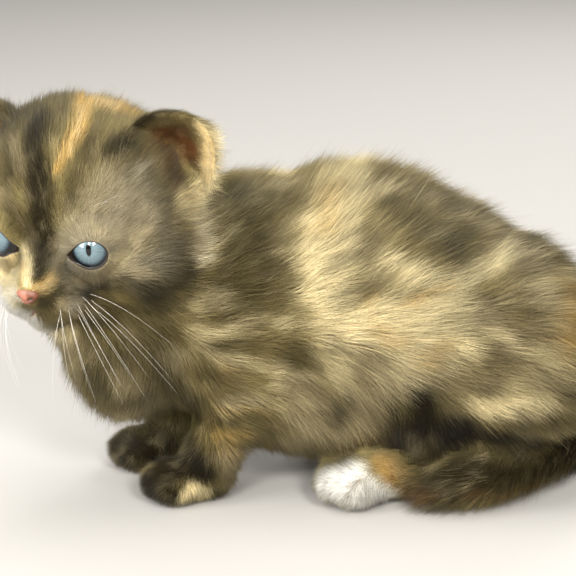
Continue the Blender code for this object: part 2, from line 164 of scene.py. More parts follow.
# each comb gives a place, the way the hair lies there, its length and its lift in degrees; head and ears in
# the head's own axes, the left legs and the left side of the body in the model's
bodyMiddle = 4.8  # the plane between the kitten's two sides
tailWay = [
    (71, 5.5, 40), (85, 9.5, 34), (92, 13.5, 22), (84, 13.5, 12), (70, 8.5, 9.7),
    (56, -6.5, 9.7), (44, -19.5, 9), (34, -25.5, 8), (27, -27.5, 5),
]
combs = {
    "body": (
        (-21, -6, 87, 0.8, 0.6, 0.2, 9, 30), (-9, 0, 90, 0.9, 0, 0.3, 10, 36),
        (2, -2, 91, 0.8, 0.6, 0.1, 11, 38), (15, -4, 90, 0.8, 0.6, 0, 11, 36),
        (29, -3, 84, 0.7, 0.7, -0.2, 11, 32), (43, 3, 77, 0.7, 0.6, -0.4, 11, 30),
        (59, 3, 69, 0.8, -0.4, -0.5, 11, 28), (-29, -18, 78, 0.9, 0.3, 0.3, 9, 26),
        (-19, -19, 78, 0.8, 0.3, 0.4, 9, 26), (-10, -17, 81, 0.8, 0.2, 0.5, 10, 28),
        (-1, -19, 83, 0.8, 0.3, 0.5, 10, 30), (10, -20, 81, 0.8, 0.4, 0.4, 10, 28),
        (23, -16, 81, 0.8, 0.5, 0.1, 10, 26), (38, -9, 76, 0.8, 0.6, -0.1, 10, 26),
        (-25, -24, 68, 0.9, 0.1, 0.4, 9, 22), (-13, -25, 69, 0.9, -0.1, 0.4, 9, 22),
        (-1, -27, 72, 0.8, 0.2, 0.5, 10, 24), (9, -27, 72, 0.8, 0.3, 0.5, 10, 24),
        (23, -24, 72, 0.8, 0.5, 0.2, 10, 22), (38, -18, 66, 0.8, 0.6, 0.2, 10, 22),
        (54, -16, 64, 0.9, 0.2, -0.3, 10, 24), (-29, -26, 59, 1, -0.1, 0.2, 9, 22),
        (-14, -28, 60, 0.9, -0.3, 0.2, 9, 20), (-1, -31, 61, 1, -0.1, 0.2, 10, 20),
        (10, -31, 63, 0.8, 0.2, 0.6, 10, 20), (23, -28, 62, 0.9, 0.4, 0.3, 10, 20),
        (36, -22, 61, 0.9, 0.4, 0.1, 10, 20), (59, -23, 58, 0.9, -0.1, -0.5, 11, 24),
        (-36, -25, 52, 0.9, -0.2, 0.2, 8, 22), (-21, -27, 52, 1, 0, 0.2, 8, 20),
        (-7, -31, 54, 1, -0.2, 0.2, 9, 20), (9, -32, 55, 0.9, 0.1, 0.3, 10, 20),
        (25, -28, 54, 0.9, 0.4, 0.2, 10, 20), (44, -28, 53, 1, -0.2, -0.1, 10, 20),
        (-27, -26, 42, 1, -0.1, 0.2, 8, 20), (-13, -29, 44, 0.9, -0.3, 0.1, 8, 20),
        (-3, -32, 47, 0.9, -0.1, -0.4, 9, 20), (9, -32, 48, 0.9, 0.1, -0.4, 10, 20),
        (24, -29, 48, 0.9, 0.4, -0.3, 10, 20), (39, -29, 47, 0.9, -0.3, -0.1, 10, 20),
        (56, -30, 47, 0.9, 0, -0.5, 10, 22), (-23, -26, 35, 1, -0.3, 0.1, 7, 20),
        (-7, -30, 39, 0.8, -0.1, -0.6, 9, 22), (4, -31, 39, 0.8, 0.1, -0.7, 10, 22),
        (16, -30, 40, 0.8, 0.3, -0.5, 10, 22), (32, -28, 39, 0.9, -0.3, -0.2, 9, 20),
        (49, -31, 38, 0.9, 0, -0.4, 9, 20), (-13, -26, 28, 0.8, 0.1, -0.6, 9, 24),
        (-2, -27, 29, 0.7, 0.3, -0.7, 10, 24), (9, -27, 29, 0.6, 0.4, -0.7, 10, 24),
        (39, -29, 32, 1, -0.2, -0.1, 8, 20), (56, -30, 32, 0.8, 0.2, -0.6, 9, 22),
        (-9, -21, 18, 0.5, 0.6, -0.6, 9, 24), (5, -22, 20, 0.4, 0.6, -0.6, 9, 24),
        (24, -29, 30, 0.3, -0.1, -0.9, 6, 22), (20, -28, 22, 0.2, 0.2, -1, 6, 22),
        (31, -28, 24, 0.3, 0.4, -0.9, 6, 22), (45, -27, 24, 0.8, 0.2, -0.6, 7, 22),
        (-67, -25, 47, -0.3, 0.4, -0.8, 8, 28), (-61, -24, 40, -0.1, 0.2, -1, 9, 28),
        (-53, -25, 44, 0.2, 0.1, -1, 8, 24), (-50, -23, 37, -0.7, 0, -0.7, 8, 26),
        (-41, -23, 39, 0.6, -0.1, -0.8, 8, 24), (-55, -21, 30, -0.4, 0.5, -0.8, 8, 28),
        (-40, -22, 31, 0.4, 0.3, -0.9, 7, 24), (-35, 5, 88, 0.9, 0, 0.2, 9, 28),
        (74, 5, 52, 0.4, 0, -0.9, 11, 28), (77, -12, 42, 0.2, 0, -1, 10, 25),
        (5, 5, 13, 1, 0, -0.1, 8, 20), (-66, -5, 34, 0.1, 0, -1, 9, 28), (-45, 5, 20, 0.8, 0, -0.5, 8, 22),
    ),
    "foreleg": (
        (-27, -25, 29, 1, 0.2, -0.1, 7.4, 30), (-25, -24, 22, 0.8, 0.5, -0.4, 6.8, 30),
        (-24, -19, 14, 0.1, 0.8, -0.5, 6.1, 30), (-36, -22, 25, 0.4, -0.8, -0.5, 6.8, 32),
        (-35, -24, 15, -0.1, 0.1, -1, 4.7, 30), (-47, -22, 10, -0.7, -0.6, -0.5, 3.5, 28),
        (-50, -24, 6, -0.6, 0.2, -0.7, 2.7, 26), (-40, -27, 6, -0.3, -0.2, -0.9, 2.7, 26),
        (-30, -21, 7, 0.4, 0.2, -0.9, 3.5, 28), (-35, -21, 2, -0.1, 0.7, -0.7, 2.7, 26),
        (-20, -8, 15, 0.3, 0.3, -0.9, 6.1, 32),
    ),
    "hindfoot": (
        (3, -22, 13, -0.4, 0.9, -0.1, 3.4, 27), (-2, -26, 10, -0.9, 0, -0.5, 2.9, 26),
        (2, -31, 7, -0.6, 0.1, -0.8, 2.6, 26), (10, -28, 10, -0.4, -0.8, -0.6, 3.1, 26),
        (13, -27, 4, -0.2, 0.5, -0.9, 2.6, 26), (18, -25, 9, -0.8, -0.3, 0.5, 4.5, 30),
        (25, -23, 11, -0.9, -0.2, 0.4, 5.9, 32), (32, -33, 12, -1, 0.1, 0.1, 6.5, 32),
        (10, -15, 8, -0.7, 0.3, -0.6, 3.9, 28), (45, -12, 8, -0.6, 0, -0.8, 6.5, 32),
    ),
    "head": (
        (10, -6, 29, -0.8, -0.2, 0.5, 5.8, 29), (7, 0, 32, -0.9, 0, 0.4, 5.8, 31),
        (4, 6, 32, -1, 0.1, 0.2, 5.8, 33), (-2, 12, 31, -1, 0, 0.1, 5.8, 33),
        (2, 21, 31, -0.4, 0.7, 0.6, 5.8, 31), (18, -2, 22, -0.6, -0.2, 0.8, 4.6, 27),
        (18, 4, 21, -0.5, -0.2, 0.9, 4.1, 25), (17, 9, 21, -0.5, 0.1, 0.8, 4.4, 27),
        (13, 16, 21, -0.6, 0.1, 0.8, 4.6, 27), (9, 22, 18, -0.8, 0.2, 0.5, 4.6, 27),
        (22, -1, 11, -0.2, -0.2, 1, 3.4, 23), (22, 4, 11, -0.2, 0, 1, 3.2, 23),
        (21, 10, 11, -0.3, 0.3, 0.9, 3, 23), (17, 16, 11, -0.5, 0.5, 0.7, 3.4, 25),
        (12, 22, 12, -0.7, 0.4, 0.6, 4.1, 27), (7, 28, 7, -0.8, 0.4, 0.5, 5.2, 29),
        (0, 32, 1, -0.9, 0.1, -0.3, 6.9, 31), (24, -1, 3, -0.7, -0.4, 0.6, 2.5, 22),
        (23, 4, 3, -0.3, -0.2, 0.9, 2, 18), (16, 22, 3, -0.6, 0.6, 0.5, 3.4, 25),
        (12, 27, 2, -0.7, 0.6, 0.5, 5.2, 29), (6, 31, -1, -0.8, 0.3, -0.4, 6.9, 31),
        (19, 20, -2, -0.4, 0.7, 0.6, 3, 25), (14, 27, -3, -0.7, 0.7, -0.1, 5.8, 29),
        (7, 32, -7, -0.8, 0.3, -0.5, 7.5, 31), (-1, 33, -14, 0.3, 0.8, 0.5, 8, 32),
        (30, 1, -1, -0.6, -0.5, 0.6, 1.6, 17), (29, 5, -4, -0.9, 0.4, 0.1, 1.6, 17),
        (24, 9, -6, 0.2, 0.8, -0.5, 2, 19), (19, 14, -9, 0.1, 0.9, 0.3, 3.2, 25),
        (19, 23, -7, -0.3, 0.9, -0.3, 5.2, 29), (13, 29, -10, -0.8, 0.4, -0.5, 6.9, 31),
        (4, 32, -16, -0.4, 0.8, -0.4, 8, 32), (30, 9, -8, -0.4, 0.9, -0.1, 1.8, 18),
        (25, 12, -10, -0.8, 0.2, -0.5, 2.8, 23), (17, 16, -14, 0.2, 0.9, 0.3, 4.6, 27),
        (16, 24, -15, -0.7, 0.6, -0.5, 6.3, 29), (7, 28, -19, -0.6, 0.5, -0.6, 7.5, 31),
        (32, 5, -11, 0, 0.6, -0.8, 1.8, 18), (29, 10, -13, -0.2, -0.3, -0.9, 2.5, 23),
        (18, 10, -20, -0.5, 0.2, -0.8, 4, 27), (14, 17, -21, -0.3, 0.6, -0.8, 5.8, 29),
        (10, 22, -24, -0.4, 0.6, -0.7, 6.9, 31), (30, 0, -17, -0.1, -0.2, -1, 2.8, 25),
        (19, -1, -27, 0.2, 0.7, -0.7, 4, 29), (18, 11, -25, -0.1, 0.4, -0.9, 5.8, 31),
        (-20, 0, 28, -0.9, 0, -0.4, 9.2, 33), (-27, 0, 5, -0.5, 0, -0.9, 10.3, 33),
        (10, 0, -27, -0.9, 0, -0.3, 6.9, 32), (27, 0, -19, -0.5, 0, -0.8, 3, 27),
        (28, 0, -2, -0.8, 0, 0.5, 1.6, 18), (21, 0, 6, -0.5, 0, 0.8, 2.8, 22),
        (-5, 31, -18, -0.6, 0.3, -0.7, 8, 32),
    ),
    "ear": (
        (-5, 37, 27, -0.2, 1, 0, 5.6, 30), (-7, 38, 18, -0.9, 0.3, -0.2, 6.2, 32),
        (-9, 36, 8, -0.8, 0.4, -0.4, 6.2, 32), (-5, 32, 4, -0.3, 0.1, -0.9, 6.2, 32),
        (-2, 28, 34, -0.8, 0.5, -0.3, 1.8, 22), (-4, 33, 33, -0.3, 0.8, -0.4, 2, 22),
        (1, 24, 32, -0.4, 0.8, 0.5, 2.6, 24), (4, 18, 26, -0.9, 0.2, 0.3, 3.5, 26),
        (-4, 24, 20, -1, 0, -0.1, 1.2, 20), (-8, 27, 13, -0.7, -0.3, 0.6, 1.2, 20),
        (-12, 33, 22, -0.3, 0.5, 0.8, 3, 22),
    ),
}
groupOfNode = {
    "ear_left": "ear", "ear_right": "ear", "head": "head", "nose": "head", "neck": "body", "torso": "body",
    "thigh_left": "body", "thigh_right": "body", "foreleg_left": "foreleg", "foreleg_right": "foreleg",
    "forepaw_left": "foreleg", "forepaw_right": "foreleg", "hindfoot_left": "hindfoot",
    "hindfoot_right": "hindfoot", "tail_root": "tail", "tail_middle": "tail", "tail_tip": "tail",
}
groups = ["body", "foreleg", "hindfoot", "head", "ear", "tail"]
coatOfGroup = ["coatBody", "coatForelegs", "coatHindfeet", "coatHead", "coatEars", "coatTail"]
combMake = {"soft": 16, "otherGroup": 1e-4, "tailLength": 9, "tailLift": 25}


def placedCombs():
    # every comb in the model's axes, with its twin on the other side: group, place, direction, length, lift
    placed = []
    mirrored = np.array((1, -1, 1))
    farForeleg = middleOf("forepaw_right") - middleOf("forepaw_left")
    for group, lies in combs.items():
        for lie in lies:
            place, direction = np.array(lie[:3], float), np.array(lie[3:6], float)
            if group in ("head", "ear"):
                twins = [(place, direction), (place * mirrored, direction * mirrored)]
                twins = [(fromHead(p), directionFromHead(d)) for p, d in twins]
            elif group == "foreleg":
                twins = [(place, direction), (place + farForeleg, direction * mirrored)]
            else:
                across = np.array((place[0], 2 * bodyMiddle - place[1], place[2]))
                twins = [(place, direction), (across, direction * mirrored)]
            placed += [(groups.index(group), p, d, *lie[6:]) for p, d in twins]
    way = np.array(tailWay, float)
    for place, direction in zip(way, np.gradient(way, axis=0)):
        hair = combMake["tailLength"], combMake["tailLift"]
        placed.append((groups.index("tail"), place, unit(direction), *hair))
    return placed


def combed(points, shares, normals):
    # the combs of a point's own group, weighed by 1 / (distance² + soft)²; the lie is laid in the surface
    total = np.zeros(len(points))
    lie = np.zeros((len(points), 3))
    length, lift = np.zeros(len(points)), np.zeros(len(points))
    for group, place, direction, itsLength, itsLift in placedCombs():
        distance = ((points - place) ** 2).sum(axis=1)
        weight = (shares[:, group] + combMake["otherGroup"]) / (distance + combMake["soft"]) ** 2
        total += weight
        lie += weight[:, None] * unit(direction)
        length += weight * itsLength
        lift += weight * itsLift
    lie -= normals * (lie * normals).sum(axis=1, keepdims=True)
    return unit(lie), length / total, lift / total


# markings

# soft brush strokes painted one over another, each a tone, how strongly it covers, and the places it runs
# through with its radius at each; head and ear strokes in the head's own axes
tones = {
    "olive": "#86784d", "sable": "#1f1805", "fawn": "#b8a881", "cream": "#f7e5b2", "gold": "#cca55c",
    "white": "#ebe8df", "russet": "#66401f",
}
bodyStrokes = (
    ("fawn", 0.4, (-1, -26, 73, 14.5), (9, -32, 51, 15.8), (44, -30, 44, 14.6)),
    ("sable", 0.38, (-27, -12, 84, 9.1), (-26, -24, 70, 10.1), (-27, -27, 52, 9.6)),
    ("sable", 0.5, (-29, -5, 87, 6.5), (-24, -17, 80, 8), (-24, -24, 69, 8), (-25, -27, 60, 6.9)),
    ("sable", 0.4, (-33, -20, 76, 5.3), (-34, -25, 62, 6.4)),
    ("sable", 0.3, (-17, -6, 87, 5.4), (-16, -21, 75, 4.8), (-13, -29, 58, 4.8)),
    ("cream", 0.5, (3, 4, 92, 5.5), (0, -13, 87, 7.5), (-2, -24, 76, 8.5), (-3, -30, 64, 6.8)),
    ("cream", 0.35, (-2, -18, 82, 3.7), (-5, -25, 73, 4.5), (-3, -30, 63, 4.2)),
    ("gold", 0.35, (-1, -10, 88, 4.3), (-3, -21, 79, 3.7)),
    ("cream", 0.6, (-1, -32, 59, 4.7), (0, -32, 45, 4.5), (3, -30, 35, 3.5)),
    ("sable", 0.45, (15, -16, 83, 4.8), (24, -19, 78, 5.3), (32, -18, 73, 3.7)),
    ("sable", 0.3, (10, -25, 75, 4), (8, -31, 64, 3.4)),
    ("sable", 0.3, (5, -12, 88, 3.2), (13, -7, 90, 2.7), (23, -8, 86, 3.2)),
    ("fawn", 0.55, (8, -15, 86, 2.7), (15, -8, 88, 2.7)),
    ("fawn", 0.45, (33, -6, 81, 3.8), (47, -4, 73, 4.4), (56, -11, 66, 4.3)),
    ("cream", 0.75, (14, -27, 71, 2.9), (19, -27, 68, 3.4), (27, -25, 65, 2.7)),
    ("cream", 1, (6, -33, 53, 5.8), (20, -30, 55, 7.4), (32, -25, 56, 6.4)),
    ("cream", 0.8, (31, -24, 61, 3.5), (39, -17, 66, 3.5), (49, -9, 70, 3.5)),
    ("cream", 1, (32, -27, 50, 6.9), (23, -29, 45, 8), (16, -30, 38, 5.9)),
    ("gold", 0.6, (20, -29, 60, 2.1), (29, -25, 62, 1.6)),
    ("gold", 0.55, (29, -27, 46, 2.7), (24, -28, 42, 2.1)),
    ("gold", 0.5, (12, -32, 53, 2.4), (17, -31, 49, 2.1)),
    ("gold", 0.35, (9, -31, 61, 2.6)),
    ("fawn", 0.6, (7, -33, 47, 3.7), (12, -30, 38, 4.3), (11, -28, 31, 4)),
    ("sable", 0.45, (41, -27, 54, 4), (44, -30, 45, 5), (39, -30, 37, 4.3)),
    ("sable", 0.42, (53, -12, 67, 4.3), (53, -23, 59, 5.1), (50, -29, 51, 4.5)),
    ("gold", 0.55, (66, -12, 59, 6), (63, -27, 49, 5.3)),
    ("cream", 0.3, (62, -29, 40, 5.9), (52, -31, 36, 4.8), (44, -30, 32, 3.7)),
    ("cream", 0.9, (39, -29, 30, 2.9), (56, -30, 31, 3.2)),
    ("fawn", 0.6, (45, -24, 59, 2.7), (38, -25, 56, 2.4), (47, -30, 48, 1.9)),
    ("fawn", 0.45, (57, -20, 61, 4.3), (59, -28, 52, 4.2), (56, -30, 46, 3.2)),
    ("fawn", 0.7, (-9, -28, 34, 6.4), (-2, -24, 23, 7), (-10, -14, 13, 6.1), (8, -24, 23, 6)),
    ("cream", 0.35, (7, -29, 33, 2.4), (4, -24, 23, 2.4), (-2, -20, 19, 2.2)),
    ("sable", 0.7, (3, -30, 34, 1.9), (0, -25, 25, 1.9)),
    ("sable", 0.35, (-9, -30, 44, 4.8), (-13, -28, 37, 3.7)),
    ("fawn", 0.65, (-33, -26, 51, 1.6), (-25, -27, 53, 1.9), (-19, -27, 55, 1.6)),
    ("cream", 0.35, (-32, -26, 50, 1.1), (-26, -27, 53, 1.1)),
    ("fawn", 0.7, (-30, -25, 42, 1.9), (-15, -28, 42, 2.1)),
    ("fawn", 0.6, (-26, -25, 33, 1.6), (-16, -27, 36, 1.6)),
    ("gold", 0.35, (-30, -25, 40, 1.3), (-19, -27, 39, 1.3)),
    ("sable", 0.65, (-36, -25, 46, 1.9), (-24, -27, 47, 1.6)),
    ("sable", 0.65, (-36, -25, 38, 1.9), (-19, -27, 38, 1.6)),
    ("sable", 0.4, (-13, -30, 50, 3.7), (-11, -29, 39, 3.2)),
    ("fawn", 0.45, (-63, -25, 44, 3.7), (-57, -26, 46, 2.7), (-53, -25, 44, 2.4)),
    ("fawn", 0.45, (-55, -24, 37, 3.2), (-48, -14, 25, 3.3)),
    ("sable", 0.6, (-46, -22, 39, 4), (-42, -20, 31, 4.1)),
    ("sable", 0.45, (-65, -21, 35, 3.2), (-55, -20, 28, 3.3)),
    ("sable", 0.35, (-57, -27, 52, 5.9), (-45, -23, 46, 5.4)),
    ("white", 0.95, (-78, -35, 56, 2.4), (-77, -19, 48, 2.4)),
    ("fawn", 0.6, (-73, -22, 47, 2.7), (-70, -23, 44, 2.4)),
    ("sable", 1, (22, -28, 33, 3.7), (24, -29, 26, 6.4), (18, -26, 20, 5.4)),
    ("sable", 1, (31, -28, 23, 5.9), (41, -24, 20, 4.6)),
    ("sable", 1, (46, -26, 21, 3.8), (66, -8, 16, 4.5)),
    ("cream", 0.95, (-37, -22, 85, 3.2), (-34, -17, 81, 3.2), (-34, -21, 76, 2.7), (-35, -24, 71, 2.1)),
    ("sable", 0.3, (-55, -14, 45, 14), (-52, 4, 36, 14)),
    ("sable", 0.3, (60, 5, 60, 12), (72, 5, 42, 12)),
    ("fawn", 0.5, (-30, 5, 14, 12), (5, 5, 12, 16), (30, 5, 12, 12)),
)
limbStrokes = (
    ("sable", 0.15, (-32, -25, 32, 10.8), (-32, -24, 17, 10.9)),
    ("sable", 0.75, (-39, -22, 31, 3.5), (-40, -16, 20, 3.8), (-37, -23, 13, 3.3)),
    ("fawn", 0.85, (-30, -25, 29, 2.7), (-19, -26, 31, 2.7)),
    ("sable", 0.55, (-35, -23, 24, 1.6), (-25, -24, 24, 1.4), (-19, -24, 26, 1.4)),
    ("sable", 0.4, (-35, -24, 18, 1.4), (-25, -22, 17, 1.2), (-21, -16, 16, 1.4)),
    ("fawn", 0.85, (-29, -23, 14, 2.7), (-24, -17, 13, 2.8)),
    ("gold", 0.75, (-32, -25, 28, 1.1), (-20, -25, 28, 1.1)),
    ("gold", 0.45, (-32, -24, 21, 1.6), (-23, -22, 20, 1.4)),
    ("gold", 0.45, (-30, -24, 16, 1.4), (-25, -21, 15, 1.4)),
    ("fawn", 0.5, (-28, -20, 9, 3.6), (-27, -16, 4, 2.5)),
    ("sable", 1, (-53, -22, 5, 5.5), (-47, -22, 10, 6.6), (-39, -22, 12, 4.9), (-34, -23, 9, 2.5)),
    ("sable", 1, (-50, -21, 2, 4.4), (-44, -28, 5, 3.8)),
    ("sable", 0.4, (-33, -22, 4, 2.2), (-31, -17, 1, 2.2)),
    ("cream", 1, (-40, -26, 3, 2.2), (-38, -25, 5, 2.5), (-35, -23, 3, 2.5), (-37, -20, 0, 2.5)),
    ("sable", 1, (-60, 2, 8, 7.4), (-50, 2, 9, 6.8), (-45, -18, 12, 3.8)),
    ("fawn", 0.35, (-63, 4, 4, 2)),
    ("russet", 0.45, (15, -24, 13, 4.3), (21, -23, 5, 3.8)),
    ("gold", 0.35, (13, -24, 14, 2.7), (16, -26, 9, 2.4)),
    ("sable", 0.85, (25, -26, 16, 6.5), (34, -32, 14, 7)),
    ("white", 1, (-2, -27, 9, 6.5), (4, -27, 11, 5.4), (5, -32, 8, 6.5), (13, -23, 2, 4.1)),
    # painted shade: thin dark lines between the toes of the white hind foot, for the shade in the creases
    # between them
    ("sable", 0.7, (8, -29, 11, 1.2), (5, -30, 10, 1.2), (4, -32, 8, 1.2), (3, -32, 4, 1.2)),
    ("sable", 0.4, (-2, -26, 10, 1.1), (-3, -27, 6, 1.1)),
    ("sable", 0.36, (9, -30, 8, 1.1), (8, -31, 4, 1.1)),
    ("russet", 0.1, (8, -31, 9, 2.2), (4, -32, 6, 1.3)),
)
tailStrokes = (
    ("sable", 0.97, (21, -24, 10, 12), (39, -30, 16, 12.4), (66, -11, 12, 12.2)),
    ("russet", 0.4, (18, -24, 5, 3.3), (25, -32, 6, 2.4)),
    ("russet", 0.25, (36, -34, 6, 2.1), (57, -18, 3, 2.2)),
    ("sable", 0.97, (70, 5, 10, 16), (92, 14, 20, 15), (78, 8, 40, 15)),
)
headStrokes = (
    ("sable", 0.34, (22, 14, -2, 11.7), (12, 22, 12, 11.6), (15, 27, -5, 11.7)),
    ("white", 0.14, (22, 14, 1, 10.3), (12, 22, 12, 10.3), (14, 27, -2, 9.1)),
    ("fawn", 0.2, (14, 18, 17, 7.7), (8, 28, 5, 7.8)),
    ("sable", 0.55, (0, -17, 29, 5.3), (14, -9, 25, 4.2), (18, -9, 18, 3.1)),
    ("sable", 0.97, (4, -7, 32, 3.4), (15, -3, 26, 4.1), (21, 1, 15, 4.6), (23, 1, 5, 4.1)),
    ("sable", 0.7, (24, 2, 3, 2.9), (30, 3, -2, 2.1)),
    ("sable", 0.25, (11, 12, 26, 6.7), (17, 13, 19, 6.2)),
    ("sable", 0.5, (6, 11, 30, 2.3), (13, 11, 24, 2.3), (18, 9, 18, 2.3), (21, 8, 13, 2.1)),
    ("sable", 0.45, (-1, -2, 34, 2.6), (10, 1, 30, 2.3)),
    ("fawn", 0.22, (10, 17, 23, 3.6), (17, 16, 15, 3.3)),
    ("gold", 0.95, (-8, 2, 33, 2.6), (6, 7, 31, 2.1), (13, 6, 27, 1.7), (17, 5, 22, 1)),
    ("cream", 0.4, (0, 5, 33, 1.3), (8, 7, 30, 1), (14, 7, 26, 0.8)),
    ("gold", 0.95, (-6, 3, 33, 2.9), (-7, 9, 32, 2.9), (-10, 15, 28, 2.6)),
    ("cream", 0.4, (-6, 5, 33, 2.1), (-7, 10, 31, 2.1)),
    ("sable", 0.85, (8, 16, 25, 2.3), (3, 18, 26, 3.1), (2, 23, 31, 2.6)),
    ("fawn", 0.4, (11, -12, 26, 2.1), (16, -8, 23, 2.1)),
    ("sable", 0.7, (21, -9, 12, 3.4), (22, -5, 7, 3.1)),
    ("fawn", 0.25, (21, 10, 10, 2.1), (19, 15, 8, 2.3), (16, 21, 5, 2.8), (12, 24, 7, 3.6)),
    ("fawn", 0.55, (19, 19, -3, 2.3), (17, 22, 1, 2.8), (12, 26, 3, 3.1)),
    ("cream", 0.35, (19, 19, -2, 1.3), (17, 22, 0, 1.6)),
    ("cream", 0.97, (20, -14, -5, 4), (30, -5, -6, 3.6), (31, -8, -11, 3.4)),
    ("cream", 0.97, (23, -5, 1, 1.3), (30, -1, -1, 1.8), (33, 1, -4, 1.3)),
    ("gold", 0.45, (22, -10, -2, 1.1), (30, -2, -1, 1.3), (33, -1, -4, 1)),
    ("white", 1, (30, -9, -13, 2.9), (29, -3, -16, 2.6), (17, -5, -28, 2.4)),
    ("white", 0.55, (30, -8, -8, 2.4), (34, -1, -8, 2.1)),
    ("sable", 0.75, (27, 2, 0, 1.8), (30, 3, -2, 1.3), (31, 4, -4, 1)),
    ("gold", 0.97, (32, 3, -5, 1.2), (30, 4, -5, 1.3), (27, 5, -4, 1.3)),
    ("cream", 0.55, (31, 4, -5, 1), (30, 5, -5, 1.2), (27, 5, -4, 1)),
    ("sable", 0.75, (32, 4, -9, 2.1), (28, 10, -9, 1.8), (19, 14, -11, 2.1)),
    ("fawn", 0.8, (30, 9, -10, 2.1), (28, 11, -11, 2.6), (18, 10, -19, 2.4)),
    ("white", 0.22, (28, 11, -11, 2.3)),
    ("sable", 0.5, (27, 6, -18, 2.4), (18, 9, -23, 3.2), (16, 14, -21, 3.2)),
    ("sable", 0.5, (19, 16, -8, 2.3), (17, 25, -10, 3.4), (8, 26, -22, 3.7)),
    ("sable", 0.55, (14, 26, -15, 3.4), (5, 31, -14, 4), (0, 34, -9, 3.2)),
    ("fawn", 0.45, (17, 25, -5, 2.6), (13, 29, -8, 2.1)),
    ("sable", 0.35, (11, 28, 1, 2.9), (3, 33, -3, 3.2)),
    ("sable", 0.35, (4, 28, 9, 2.3), (6, 30, 4, 2.6)),
    ("fawn", 0.45, (15, 17, -26, 2.4), (12, 20, -30, 2.1)),
    ("fawn", 0.35, (26, 8, -5, 1.6), (22, 11, -7, 1.6)),
    ("fawn", 0.12, (21, 11, 6, 2.1), (20, 14, 7, 2.3), (19, 18, 5, 2.1)),
    ("fawn", 0.6, (21, 10, -5, 2.1), (20, 13, -6, 2.3), (20, 17, -4, 2.3)),
    ("cream", 1, (-4, 31, 7, 3.7), (-9, 31, 1, 4.5), (-5, 34, -4, 3.5), (-1, 35, -9, 2.7)),
    # partly painted light: white over the cream behind the cheek lifts it where it lies in shade under the
    # ear; it also greys that cream
    ("white", 0.35, (-7, 32, 1, 2.4), (-5, 34, -4, 2.4), (-1, 35, -9, 2.1)),
    ("gold", 1, (32, 3, -5, 1.2), (30, 4, -5, 1.3), (27, 5, -4, 1.2)),
    ("cream", 0.6, (32, 3, -5, 0.8), (30, 4, -5, 0.9), (27, 5, -4, 0.8)),
    ("sable", 0.7, (30, 6, -7, 1), (27, 8, -6, 1.3)),
    ("sable", 0.5, (15, -12, 20, 5), (10, -20, 18, 7)),
    ("fawn", 0.4, (10, -30, 0, 6), (3, -33, -8, 7)),
    ("cream", 0.97, (24, -12, -7, 6), (18, -20, -10, 8), (14, -24, -14, 7)),
    ("cream", 0.5, (20, -18, 0, 4), (14, -25, -2, 5)),
    ("white", 0.95, (28, -9, -15, 5), (20, -14, -21, 7), (14, -18, -24, 6)),
    ("cream", 0.8, (20, 0, -25, 4), (12, 0, -28, 6)),
    ("white", 0.9, (30, -3, -16, 2.6), (27, 0, -19, 2.4)),
    ("sable", 0.5, (2, -22, 24, 6), (-6, -10, 32, 7)),
)
earStrokes = (
    ("cream", 0.9, (-11, 38, 24, 4), (-13, 37, 12, 4.5)),
    ("sable", 0.65, (8, 20, 21, 3.1), (1, 20, 25, 3.6), (1, 25, 32, 2.8), (-2, 30, 34, 2.3)),
    ("sable", 0.3, (3, 23, 19, 3.6)),
    ("russet", 0.95, (-5, 23, 24, 3.1), (-7, 28, 24, 3.9), (-9, 29, 17, 3.4)),
    ("russet", 0.9, (-6, 24, 19, 2.6), (-6, 27, 12, 2.6), (-2, 29, 11, 1.6)),
    ("sable", 0.45, (-7, 26, 16, 1.8), (-4, 27, 12, 1.6)),
    ("sable", 0.3, (-5, 30, 27, 2.1), (-7, 32, 23, 1.6)),
    ("fawn", 0.55, (5, 23, 19, 2.1), (-2, 25, 18, 1.6)),
    ("white", 0.22, (6, 23, 19, 1.6), (1, 24, 19, 1.3)),
    ("sable", 0.95, (4, 24, 17, 0.5), (1, 25, 17, 0.5)),
    ("sable", 0.95, (0, 27, 12, 0.6), (-3, 27, 12, 0.6)),
    ("sable", 0.7, (1, 28, 11, 1), (2, 29, 9, 1)),
    ("sable", 0.9, (1, 24, 32, 1.5), (-2, 28, 34, 1.3), (-4, 32, 33, 0.9)),
    ("fawn", 0.6, (-1, 30, 33, 0.8), (-3, 33, 31, 0.8)),
    ("cream", 1, (-5, 36, 29, 1.5), (-6, 38, 24, 2.6), (-7, 38, 16, 3.9), (-8, 35, 8, 4.5),
     (-6, 32, 3, 3.7)),
    ("cream", 1, (-6, 30, 8, 2.1), (-6, 32, 2, 2.4)),
    ("white", 0.35, (-5, 35, 27, 0.4), (-8, 34, 20, 0.5), (-9, 31, 12, 0.5)),
    ("gold", 0.2, (-6, 38, 24, 1.3), (-8, 39, 18, 1.3)),
    ("sable", 0.8, (-4, -37, 28, 5), (-12, -36, 14, 7)),
    ("russet", 0.7, (-2, -26, 24, 5), (-6, -27, 16, 4)),
)
farFootStrokes = (
    ("sable", 0.8, (-60, 4, 6, 9), (-45, 12, 10, 10)),
    ("gold", 0.7, (-4, 32, 8, 10), (8, 34, 8, 10)),
    ("sable", 0.6, (25, 26, 10, 10), (42, 24, 10, 12)),
)

# how the strokes are laid: where a stroke ends, as shares of its radius, how far its edge wanders, and the
# streaks and the ticking that go over them
markingMake = {
    "edge": (1.55, 0.5), "byLock": 0.25, "byGrain": 0.2, "warpSize": 5, "lockSize": 2.6, "grainSize": 1.1,
    "wander": {
        "body": 1.4, "farBody": 2.5, "limb": 0.5, "farFoot": 1.0, "tail": 1.0, "head": 0.5, "ear": 0.3},
    "farShift": -8, "farSide": (2, 14), "farFeet": (5, 8), "earOnHead": 0.6, "earAbove": -6,
    "streakSize": 3.6, "streakLong": 2, "streakRange": (0.15, 0.7), "streaks": 0.45, "streaksLeftInDark": 0.6,
    "tickingRange": (0.28, 0.46), "tickingByGrain": 0.1, "ticking": 0.22,
}


